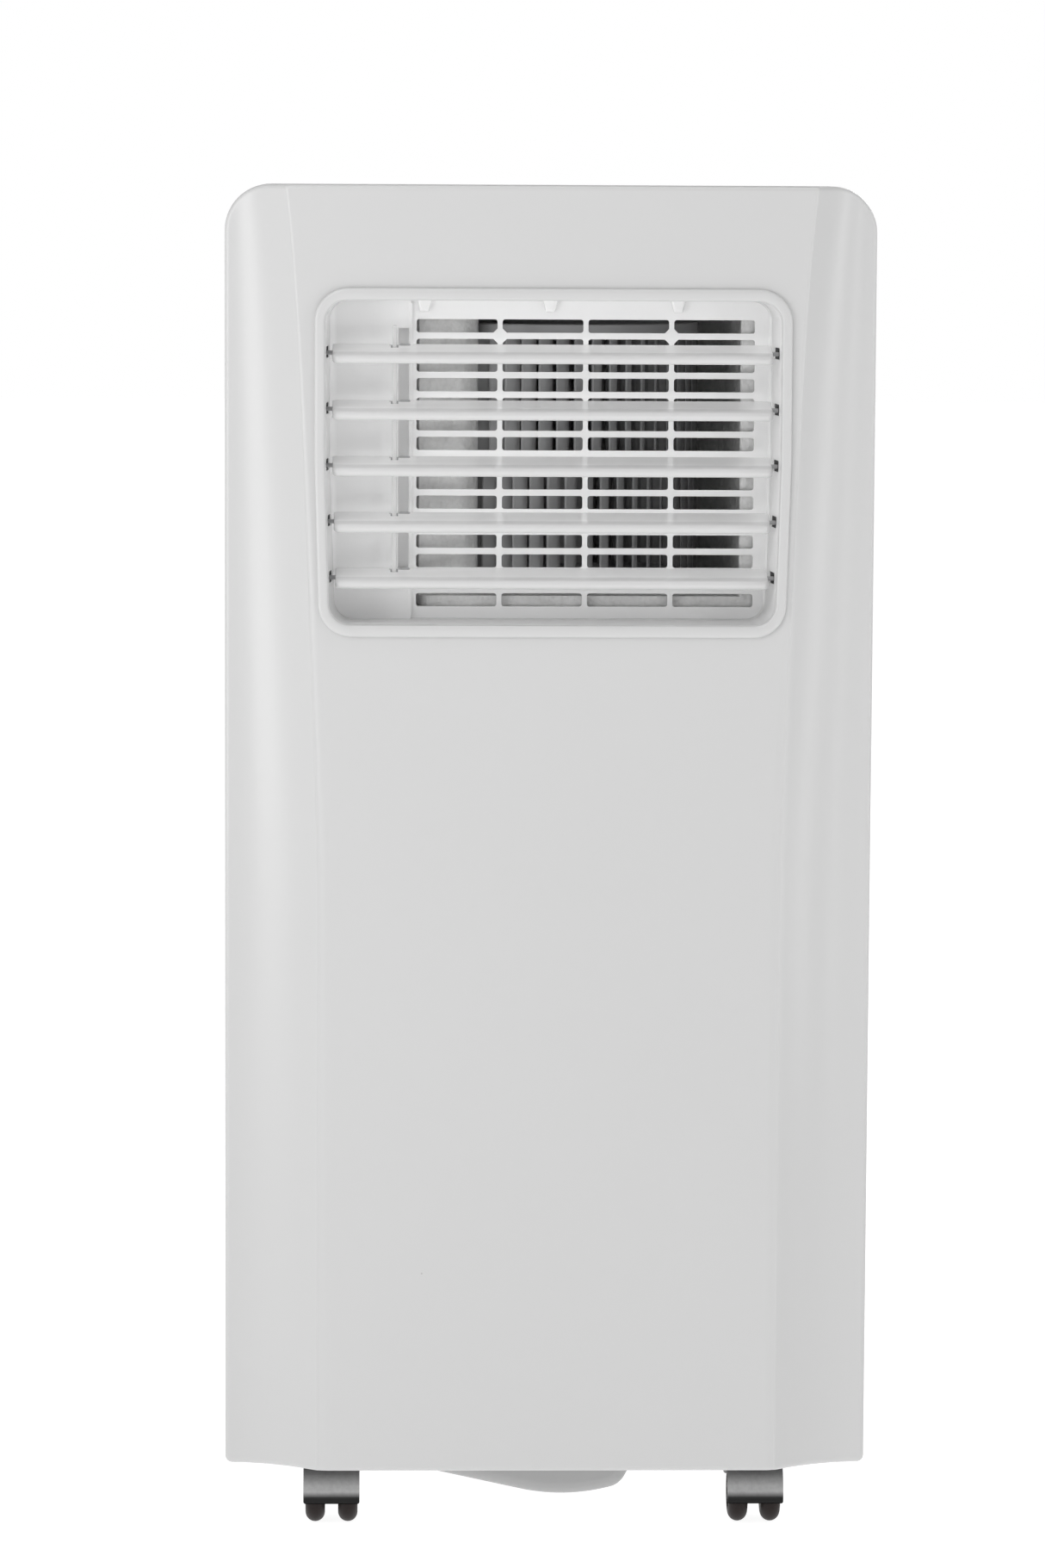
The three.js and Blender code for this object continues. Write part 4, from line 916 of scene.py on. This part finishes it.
def evap_scroll():
    """The foam block with its volute; its edges round off generously towards the grille."""
    lo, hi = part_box("evap_scroll")
    wheel_lo, wheel_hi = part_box("evap_wheel")
    cx, cy, _ = centre_of("evap_wheel")
    outline = rectangle(lo.x, hi.x, lo.y, hi.y, 12 * MM)
    made = object_of("evap_scroll_foam", plate(outline, lo.z, hi.z, "z", 3 * MM))
    points = [(-67.8 * MM, lo.y - 6 * MM), (-67.8 * MM, lo.y + 2 * MM)]
    nose_x, nose_y, nose_r = -50 * MM, lo.y + 7 * MM + 16 * MM, 14 * MM
    for k in range(9):
        turn = -math.pi / 2 + math.pi / 2 * k / 8
        points.append((nose_x + nose_r * math.cos(turn), nose_y + nose_r * math.sin(turn)))
    points.append((-36.2 * MM, cy - 58 * MM))
    for k in range(25):
        turn = 1.27 * math.pi * (1 - k / 24)
        r = (76 + 12 * k / 24) * MM
        points.append((cx + r * math.cos(turn), cy + r * math.sin(turn)))
    lip = ((107, 40), (107, 9), (98, 2.6), (97.4, 1.4), (97.9, 0.5), (98.9, -0.1), (98.9, -6))
    points += [(x * MM, lo.y + y * MM) for x, y in lip]
    floor, ceiling = wheel_lo.z - 6 * MM, wheel_hi.z + 4 * MM
    cavity = loft([[Vector((a, b, z)) for a, b in points] for z in (floor, ceiling)])
    mouth = disc(56 * MM, wheel_hi.z, hi.z + 5 * MM, 0, (cx, cy, 0), "z", 72)
    shaft = disc(9 * MM, lo.z - 5 * MM, wheel_lo.z, 0, (cx, cy, 0), "z", 32)
    cut(made, cavity, mouth, shaft)
    finish_piece(made, FOAM, replaces="evap_scroll", sharp=40)


# ---------------------------------------------------------------- underside and casters
HOUSING_LO, HOUSING_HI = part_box("rear_housing")
HOUSING_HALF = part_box("top_cover")[1].x
REAR = HOUSING_HI.y
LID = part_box("top_cover")[0].z


def base_pan():
    """The tray between the skirts, with its shallow sump and four caster bosses."""
    lo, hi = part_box("base_pan")
    tray_low, tray_high = 42 * MM, hi.z
    half = hi.x
    nose = RIDGE_LOW - 6 * MM
    plan = [
        (-nose, lo.y, 4 * MM), (nose, lo.y, 4 * MM), (half, lo.y + 27 * MM, 4 * MM),
        (half, hi.y, 16 * MM), (-half, hi.y, 16 * MM), (-half, lo.y + 27 * MM, 4 * MM)]
    made = object_of("base_pan_tray", plate(plan, tray_low, tray_high, "z", 0.4 * MM, low_edge=3 * MM))
    levels = (tray_low + 3 * MM, tray_high + 5 * MM)
    cut(made, loft([[lay(p, z, "z") for p in rounded(plan, 3 * MM)] for z in levels]))
    finish_piece(made, PAN_PAINTED_SHADE, replaces="base_pan")
    sump = [(-104, 38, 1), (11, 12.7, 100), (40, 20.0, 12), (51, 40, 5), (51, 47, 0.5), (-104, 47, 0.5)]
    sump = [(x * MM, z * MM, r * MM) for x, z, r in sump]
    near, far = FRONT + 45 * MM, FRONT + 135 * MM
    piece("base_pan_sump", plate(sump, near, far, "y", 7 * MM, steps=14, edge_steps=7), PAN_PAINTED_SHADE)
    bosses = Shape()
    for name in CASTERS:
        stem = JOINTS[f"{name}_swivel"]["pos_m"]
        bosses.join(disc(12 * MM, tray_low - 3.4 * MM, tray_low + 1 * MM, 1.2 * MM, (stem[0], stem[1], 0)))
    piece("base_pan_bosses", bosses, PAN_PAINTED_SHADE)


CASTERS = [f"caster_{end}_{side}" for end in ("front", "rear") for side in ("left", "right")]


def caster(name):
    """A twin-wheel caster: a curved hood over both wheels, the web and stem between them, and the axle."""
    stem = Vector(JOINTS[f"{name}_swivel"]["pos_m"])
    lo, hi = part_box(name)
    wheels = [name.replace("caster", "wheel") + side for side in ("_left", "_right")]
    _, y, axle_z = centre_of(wheels[0])
    hood_z, radius, wall, half = axle_z + 1 * MM, 19 * MM, 1.8 * MM, 14.6 * MM
    start = math.asin((13.0 * MM - hood_z) / radius)
    stop = math.pi - math.asin((21.5 * MM - hood_z) / radius)
    lip = 0.85 * MM
    turns = [math.pi / 8 * k for k in range(5)]
    ends = [(lip * (1 - math.sin(t)), lip * (1 - math.cos(t)) / radius) for t in turns]
    stations = [(inset, start + along) for inset, along in ends]
    stations += [(0.0, start + (stop - start) * k / 36) for k in range(3, 34)]
    stations += [(inset, stop - along) for inset, along in ends[::-1]]
    loops = []
    for inset, turn in stations:
        low, high = radius - wall + inset, radius - inset
        section = rounded(rectangle(-half + inset, half - inset, low, high, 0.8 * MM), 0, 4)
        c, s = math.cos(turn), math.sin(turn)
        loops.append([Vector((stem.x + a, y - b * c, hood_z + b * s)) for a, b in section])
    piece(f"{name}_hood", loft(loops), HOOD, body=name, replaces=name)
    web = [(-9, 11.8, 2), (9, 11.8, 2), (9, 31, 2), (0, 34.2, 6), (-9, 31, 2)]
    web = [(y + a * MM, b * MM, r * MM) for a, b, r in web]
    low, high = stem.x - 2.6 * MM, stem.x + 2.6 * MM
    body = plate(web, low, high, "x", 0.4 * MM)
    body.join(disc(5 * MM, low, high, 0.4 * MM, (0, y, axle_z), "x", 28))
    body.join(disc(8 * MM, 32 * MM, 36.4 * MM, 0.6 * MM, (stem.x, stem.y, 0)))
    piece(f"{name}_web", body, WHEEL, body=name, slot="caster_hood")
    metal = disc(4 * MM, 36 * MM, min(56 * MM, hi.z), 0.5 * MM, (stem.x, stem.y, 0), steps=28)
    metal.join(disc(2 * MM, lo.x + 1.4 * MM, hi.x - 1.4 * MM, 0.4 * MM, (0, y, axle_z), "x", 20))
    piece(f"{name}_stem", metal, STEEL, body=name)
    for wheel in wheels:
        caster_wheel(wheel)


def caster_wheel(name):
    """A hard wheel with a fully rounded tread and a dished outer face."""
    lo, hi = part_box(name)
    half, radius, bore = (hi.x - lo.x) / 2, (hi.z - lo.z) / 2, 2.2 * MM
    side = 1 if name.endswith("right") else -1
    profile = [(bore, -half), (radius - half, -half)]
    for k in range(1, 24):
        turn = math.pi * k / 24
        profile.append((radius - half + half * math.sin(turn), -half * math.cos(turn)))
    shoulder = radius - half
    profile += [
        (shoulder, half), (shoulder - 0.8 * MM, half), (shoulder - 1.4 * MM, half - 1.6 * MM),
        (5.4 * MM, half - 1.9 * MM), (4.9 * MM, half - 0.4 * MM), (4.4 * MM, half), (bore, half)]
    profile = [(r, side * x) for r, x in profile]
    piece(name + "_tyre", turned(profile, 56, centre_of(name), "x"), WHEEL, body=name, replaces=name)


# ---------------------------------------------------------------- rear casing
REAR_R = 22 * MM


def casing_plan(inset, front):
    half, rear = HOUSING_HALF - inset, REAR - inset
    return [(-half, front, 0), (half, front, 0), (half, rear, REAR_R - inset), (-half, rear, REAR_R - inset)]


def rear_window(node, grow):
    """The outline (x, z) of a filter's window."""
    lo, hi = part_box(node)
    return rectangle(lo.x - grow, hi.x + grow, lo.z - grow, hi.z + grow, 6 * MM)


REAR_CUT = (REAR - 6 * MM, REAR + 6 * MM)  # levels that pass right through the rear wall
SIDE_SLOTS = [(100 + 18 * k) * MM for k in range(8)]  # the lower edges of the slots in each side


def grip_outline(name):
    """The outline (y, z) of a hand grip's cup."""
    lo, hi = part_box(name)
    return rectangle(lo.y + 3 * MM, hi.y - 3 * MM, lo.z + 3 * MM, hi.z - 3 * MM, 6 * MM)


def rear_housing():
    """The rear casing, open for filters, collar, caps and cord, with slats behind its slotted sides."""
    low, high = HOUSING_LO.z, HOUSING_HI.z
    sections = [(2.4, low), (1.5, low + 0.15 * MM), (0.7, low + 0.7 * MM), (0.15, low + 1.5 * MM)]
    sections += [(0.0, low + 2.4 * MM), (0.0, high)]

    def loops(stations, front):
        plans = [(rounded(casing_plan(inset, front), 0, 10), z) for inset, z in stations]
        return [[lay(p, z, "z") for p in plan] for plan, z in plans]

    made = object_of("rear_housing_shell", loft(loops([(inset * MM, z) for inset, z in sections], SEAM)))
    cut(made, loft(loops([(WALL, low - 5 * MM), (WALL, high + 5 * MM)], SEAM - 5 * MM)))
    holes = Shape()
    for node in ("filter_upper", "filter_lower"):
        holes.join(plate(rear_window(node, 0.3 * MM), *REAR_CUT, "y", steps=8))
    round_holes = (("exhaust_collar", 73.6, 96), ("drain_cap_upper", 9, 40), ("drain_cap_lower", 9, 40),
                   ("cord_gland", 7, 40))
    for node, radius, steps in round_holes:
        x, _, z = centre_of(node)
        holes.join(disc(radius * MM, *REAR_CUT, 0, (x, 0, z), "y", steps))
    cut(made, holes)
    slots = Shape()
    for side in (-1, 1):
        near, far = sorted((side * (HOUSING_HALF - 6 * MM), side * (HOUSING_HALF + 6 * MM)))
        for z in SIDE_SLOTS:
            slots.join(plate(rectangle(20 * MM, 100 * MM, z, z + 8 * MM, 3.9 * MM), near, far, "x"))
        slots.join(plate(grip_outline("handle_left"), near, far, "x"))
    cut(made, slots)
    bevel(made, 0.5 * MM, 2, 40)
    finish_piece(made, CASING, replaces="rear_housing")
    slats = Shape()
    for side in (-1, 1):
        x = side * (HOUSING_HALF - 3.2 * MM)
        for z in SIDE_SLOTS:
            outer, inner = Vector((x, 0, z - 2 * MM)), Vector((x - side * 9 * MM, 0, z + 10 * MM))
            thick = Vector((-side * 1.2 * MM, 0, -0.9 * MM))
            section = (outer, inner, inner + thick, outer + thick)
            slats.join(loft([[p + Vector((0, y, 0)) for p in section] for y in (14 * MM, 106 * MM)]))
    piece("rear_housing_slats", slats, CASING)
    rear_screws()


def rear_screws():
    """Pan-head screws that hold the rear casing, each with a cross recess."""
    heads = Shape()
    recesses = Shape()
    dome = in_mm([(0, -1), (3.6, -1), (3.6, 0.5), (3.0, 1.2), (1.6, 1.6), (0, 1.7)], REAR)
    for x, z in [(side * 136 * MM, z * MM) for side in (-1, 1) for z in (58, 352, 644)]:
        heads.join(turned(dome, 28, (x, 0, z), "y"))
        for a, b in ((2.2, 0.45), (0.45, 2.2)):
            near = (x - a * MM, REAR + 0.7 * MM, z - b * MM)
            far = (x + a * MM, REAR + 2.4 * MM, z + b * MM)
            recesses.join(block(near, far, 0.05 * MM, "y"))
    made = cut(object_of("rear_screws", heads), recesses)
    finish_piece(made, STEEL)


def cover_loop(y, inset):
    """The top cover's section (x, z) at a depth: its back corners and back edge round off."""
    past = max(y - (REAR - REAR_R), 0)
    radius = REAR_R - inset
    narrow = radius - math.sqrt(max(radius**2 - past**2, 0))
    edge = 7 * MM - inset
    over = max(y - (REAR - 7 * MM), 0)
    drop = edge - math.sqrt(max(edge**2 - over**2, 0))
    half, top = HOUSING_HALF - inset - narrow, COVER_TOP - inset - drop
    low = LID - (inset and 5 * MM)
    corner = 24 * MM - inset
    return rounded([(-half, low, 0), (half, low, 0), (half, top, corner), (-half, top, corner)], 0, 12)


COVER_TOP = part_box("top_cover")[1].z


def top_cover():
    def stations(inset, front):
        turns = [math.pi / 2 * k / 10 for k in range(11)]
        bend = [REAR - REAR_R + (REAR_R - inset) * math.sin(t) for t in turns]
        edge = [REAR - 7 * MM + (7 * MM - inset) * math.sin(t) for t in turns]
        return [front] + sorted(set(bend[:9] + edge))

    outer = loft([[lay(p, y, "y") for p in cover_loop(y, 0)] for y in stations(0, SEAM)])
    inner = loft([[lay(p, y, "y") for p in cover_loop(y, WALL)] for y in stations(WALL, SEAM - 10 * MM)])
    made = cut(object_of("top_cover_shell", outer), inner)
    lo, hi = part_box("control_fascia")
    grow = 0.3 * MM
    hatch = rectangle(lo.x - grow, hi.x + grow, lo.y - grow, hi.y + grow, 8 * MM)
    cut(made, plate(hatch, COVER_TOP - 8 * MM, COVER_TOP + 8 * MM, "z", steps=8))
    bevel(made, 0.5 * MM, 2, 40)
    finish_piece(made, CASING, replaces="top_cover")


def grip(side):
    """A hand grip let into a side wall: a rounded lip outside and a smooth cup inside."""
    name = "handle_left" if side < 0 else "handle_right"
    (a0, b0, _), _, (a1, b1, _), _ = grip_outline(name)
    depth = 22
    outer = [
        (1.3, -depth), (0.3, 1 - depth), (0.3, 0.3), (-3, 0.3), (-3, 0.7), (-2.6, 1.2),
        (-2.0, 1.4), (0.8, 1.4), (1.7, 1.0)]
    inner = [(2.2, 0.2), (2.8, 5 - depth), (3.6, 3.2 - depth), (5.2, 2.2 - depth), (7, 2 - depth)]
    loops = []
    for inset, level in outer + inner:
        radius = max(6 - inset, 1) * MM
        grow = inset * MM
        outline = rounded(rectangle(a0 + grow, a1 - grow, b0 + grow, b1 - grow, radius), 0, 8)
        loops.append([lay(p, side * (HOUSING_HALF + level * MM), "x") for p in outline])
    piece(name + "_cup", loft(loops), CASING, replaces=name, sharp=40)


def filter_cassette(name, bars):
    """A filter frame with horizontal bars outside and a fine net behind them."""
    lo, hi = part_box(name)
    back = hi.y
    frame_plan = rectangle(lo.x, hi.x, lo.z, hi.z, 5 * MM)
    made = object_of(name + "_frame", plate(frame_plan, lo.y, back, "y", 0.9 * MM, 8, low_edge=0.3 * MM))
    margin, border = 7 * MM, 9.7 * MM
    near = (lo.x + margin, lo.y - 5 * MM, lo.z + margin)
    far = (hi.x - margin, back - 3 * MM, hi.z - margin)
    cut(made, block(near, far, 0.5 * MM, "y"))
    pitch = (hi.z - lo.z - 2 * border) / bars
    slots = Shape()
    for k in range(bars):
        z = lo.z + border + k * pitch
        for x0, x1 in ((lo.x + border, -2 * MM), (2 * MM, hi.x - border)):
            slot = rectangle(x0, x1, z + 2 * MM, z + pitch - 2 * MM, 2.5 * MM)
            slots.join(plate(slot, back - 6 * MM, back + 5 * MM, "y", steps=5))
    cut(made, slots)
    bevel(made, 0.5 * MM, 2, 50)
    finish_piece(made, CASING, body=name, replaces=name)
    tabs = Shape()
    z = hi.z - 5 * MM
    for x in (-60 * MM, 60 * MM):
        near = (x - 12 * MM, back - 0.5 * MM, z - 1.8 * MM)
        far = (x + 12 * MM, back + 3.2 * MM, z + 1.8 * MM)
        tabs.join(block(near, far, 1.1 * MM, "y"))
    piece(name + "_tabs", tabs, CASING, body=name)
    net = Shape()
    y, wire, gap = back - 4.4 * MM, 0.22 * MM, 3.4 * MM
    x0, x1, z0, z1 = lo.x + 6.5 * MM, hi.x - 6.5 * MM, lo.z + 6.5 * MM, hi.z - 6.5 * MM
    for k in range(1, int((x1 - x0) / gap)):
        x = x0 + k * gap
        net.join(block((x - wire, y - wire, z0), (x + wire, y + wire, z1), 0, "z", 0.1 * MM))
    for k in range(1, int((z1 - z0) / gap)):
        z = z0 + k * gap
        net.join(block((x0, y + 0.1 * MM, z - wire), (x1, y + 0.3 * MM + wire, z + wire), 0, "x", 0.05 * MM))
    piece(name + "_net", net, RUBBER, body=name, weighted=False)


def exhaust_collar():
    """The hose collar: a flange, a short pipe with a beaded rim, four bayonet lugs and its screws."""
    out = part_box("exhaust_collar")[1].y
    x, _, z = centre_of("exhaust_collar")
    y = REAR
    flange = in_mm([
        (70, -3), (72.8, -3), (72.8, 0.4), (80.2, 0.4), (81, 1.0), (81, 2.2), (80.4, 2.8), (79.6, 3.0),
        (74.4, 3.0), (73.2, 3.6), (72.8, 4.6)], y)
    rim = in_mm([
        (72.8, -3.2), (73.8, -2.4), (73.9, -1.2), (73.2, -0.3), (72, 0), (70.6, -0.2), (70, -1)], out)
    made = object_of("exhaust_collar_ring", turned(flange + rim, 112, (x, 0, z), "y"))
    finish_piece(made, CASING, replaces="exhaust_collar")
    lugs = Shape()
    screws = Shape()
    dome = in_mm([(0, 2), (2.6, 2), (2.6, 3.4), (1.9, 4.1), (0, 4.4)], y)
    for k in range(4):
        middle = math.pi / 4 + math.pi / 2 * k
        loops = []
        for step in range(9):
            turn = middle + 0.16 * (step / 8 - 0.5) * 2
            inset = 0.4 * MM if step in (0, 8) else 0.0
            low, high = y + 6.4 * MM + inset, y + 9.0 * MM - inset
            section = rounded(rectangle(72.4 * MM, 76.2 * MM - inset, low, high, 0.7 * MM), 0, 4)
            loops.append([Vector((x + a * math.cos(turn), b, z + a * math.sin(turn))) for a, b in section])
        lugs.join(loft(loops))
        turn = math.pi / 2 * k
        place = (x + 77.4 * MM * math.cos(turn), 0, z + 77.4 * MM * math.sin(turn))
        screws.join(turned(dome, 24, place, "y"))
    piece("exhaust_collar_lugs", lugs, CASING)
    piece("exhaust_collar_screws", screws, STEEL)


def drain_cap(name):
    """A soft plug with a knurled head."""
    x, _, z = centre_of(name)
    plug = [(0, -9), (4.6, -9), (5.2, -8.4), (5.6, -7), (5.1, -5.5), (5.6, -4), (5.6, 0.5)]
    head = [(10.2, 0.5), (11, 1.1), (11, 3.6), (10.4, 4.5), (9.3, 5.2), (8.8, 6.2), (8.0, 6.5), (4.5, 6.1)]
    shape = turned(in_mm(plug + head + [(0, 5.9)], REAR), 48, (x, 0, z), "y")
    piece(name + "_plug", shape, RUBBER, body=name, replaces=name, slot="rubber")
    ribs = Shape()
    for k in range(18):
        turn = 2 * math.pi * k / 18
        place = (x + 10.7 * MM * math.cos(turn), 0, z + 10.7 * MM * math.sin(turn))
        ribs.join(disc(0.8 * MM, REAR + 1.1 * MM, REAR + 4.0 * MM, 0.3 * MM, place, "y", 10))
    piece(name + "_ribs", ribs, RUBBER, body=name, slot="rubber")


def cord_gland():
    """The bush that the cord would leave by."""
    x, _, z = centre_of("cord_gland")
    profile = in_mm([
        (3.6, -8), (6.7, -8), (6.7, 0.3), (9.2, 0.3), (10, 0.9), (10, 2.2), (9.2, 3.0), (7.2, 3.2),
        (6.6, 4.2), (6.0, 4.9), (4.4, 5), (3.6, 4.6)], REAR)
    body = turned(profile, 48, (x, 0, z), "y")
    piece("cord_gland_body", body, RUBBER, replaces="cord_gland", slot="rubber")


# ---------------------------------------------------------------- controls
BUTTONS = ("power", "mode", "timer", "cooler", "warmer", "fan_speed")


def control_fascia():
    """The glossy plate on top, dished round each key, with the display window let into it."""
    lo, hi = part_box("control_fascia")
    middle = (lo.y + hi.y) / 2
    outline = rectangle(lo.x, hi.x, lo.y, hi.y, 7.7 * MM)
    made = object_of("control_fascia_plate", plate(outline, lo.z, hi.z, "z", 0.5 * MM, 10, low_edge=0.2 * MM))
    below, above = lo.z - 5 * MM, hi.z + 5 * MM
    holes = Shape()
    dishes = Shape()
    dish = in_mm([(0, -0.7), (6.2, -0.7), (7.6, 0.1), (0, 0.1)], hi.z)
    for name in BUTTONS:
        centre = (centre_of(f"{name}_button")[0], middle, 0)
        holes.join(disc(6 * MM, below, above, 0, centre, steps=48))
        dishes.join(turned(dish, 48, centre))
    glass_lo, glass_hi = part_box("display_window")
    grow = 0.3 * MM
    pane = rectangle(glass_lo.x - grow, glass_hi.x + grow, glass_lo.y - grow, glass_hi.y + grow, 2 * MM)
    cut(made, dishes, holes, plate(pane, below, above, "z"))
    finish_piece(made, BEAD, replaces="control_fascia")
    outline = rectangle(glass_lo.x, glass_hi.x, glass_lo.y, glass_hi.y, 1.8 * MM)
    glass = plate(outline, glass_lo.z, glass_hi.z, "z", 0.25 * MM)
    piece("display_window_pane", glass, WINDOW, replaces="display_window")
    lamps = Shape()
    low, high = glass_hi.z - 0.2 * MM, glass_hi.z + 0.12 * MM
    for k in range(5):
        place = ((k - 2) * 7 * MM, glass_lo.y + 3.6 * MM, 0)
        lamps.join(disc(0.8 * MM, low, high, 0.1 * MM, place, steps=16))
    piece("display_lamps", lamps, KEYS)


def button(name):
    """A round key with a dished, soft-edged cap over its retaining flange."""
    node = f"{name}_button"
    lo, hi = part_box(node)
    x, y, _ = centre_of(node)
    r, flange, shoulder = 5.6 * MM, 7.2 * MM, 688.7 * MM
    profile = [
        (0, lo.z), (flange, lo.z), (flange, shoulder), (r, shoulder), (r, hi.z - 0.9 * MM),
        (r - 0.25 * MM, hi.z - 0.35 * MM), (r - 0.9 * MM, hi.z), (r - 1.7 * MM, hi.z - 0.12 * MM),
        (r * 0.4, hi.z - 0.5 * MM), (0, hi.z - 0.6 * MM)]
    piece(node + "_cap", turned(profile, 56, (x, y, 0)), KEYS, body=node, replaces=node)
    if name == "power":
        lamp = disc(0.9 * MM, hi.z - 0.7 * MM, hi.z - 0.3 * MM, 0.1 * MM, (x, y, 0), steps=20)
        piece(node + "_lamp", lamp, WINDOW, body=node)


# ---------------------------------------------------------------- the scene
make_camera()
make_studio()
front_panel()
outlet_frame()
outlet_grille()
for number in range(1, 6):
    louver(number)
louver_link()
evap_wheel()
evap_scroll()

base_pan()
for corner in CASTERS:
    caster(corner)
rear_housing()
top_cover()
grip(-1)
grip(1)
filter_cassette("filter_upper", 12)
filter_cassette("filter_lower", 9)
exhaust_collar()
drain_cap("drain_cap_upper")
drain_cap("drain_cap_lower")
cord_gland()
control_fascia()
for key in BUTTONS:
    button(key)

PLAIN = {
    CASING: ("cond_scroll", "exhaust_duct", "partition_deck"),
    FOAM: ("evap_inlet_ring",),
    STEEL: ("evap_motor", "cond_motor", "control_box", "run_capacitor"),
    DARK: ("cond_wheel",),
    BLACK_STEEL: ("compressor", "accumulator"),
    FINS: ("condenser_coil", "evaporator_coil"),
    COPPER: ("discharge_pipe", "suction_pipe", "liquid_line"),
    BOARD: ("control_board", "display_board"),
}
for material, names in PLAIN.items():
    for name in names:
        frame["nodes"][name].data.materials.clear()
        frame["nodes"][name].data.materials.append(material)
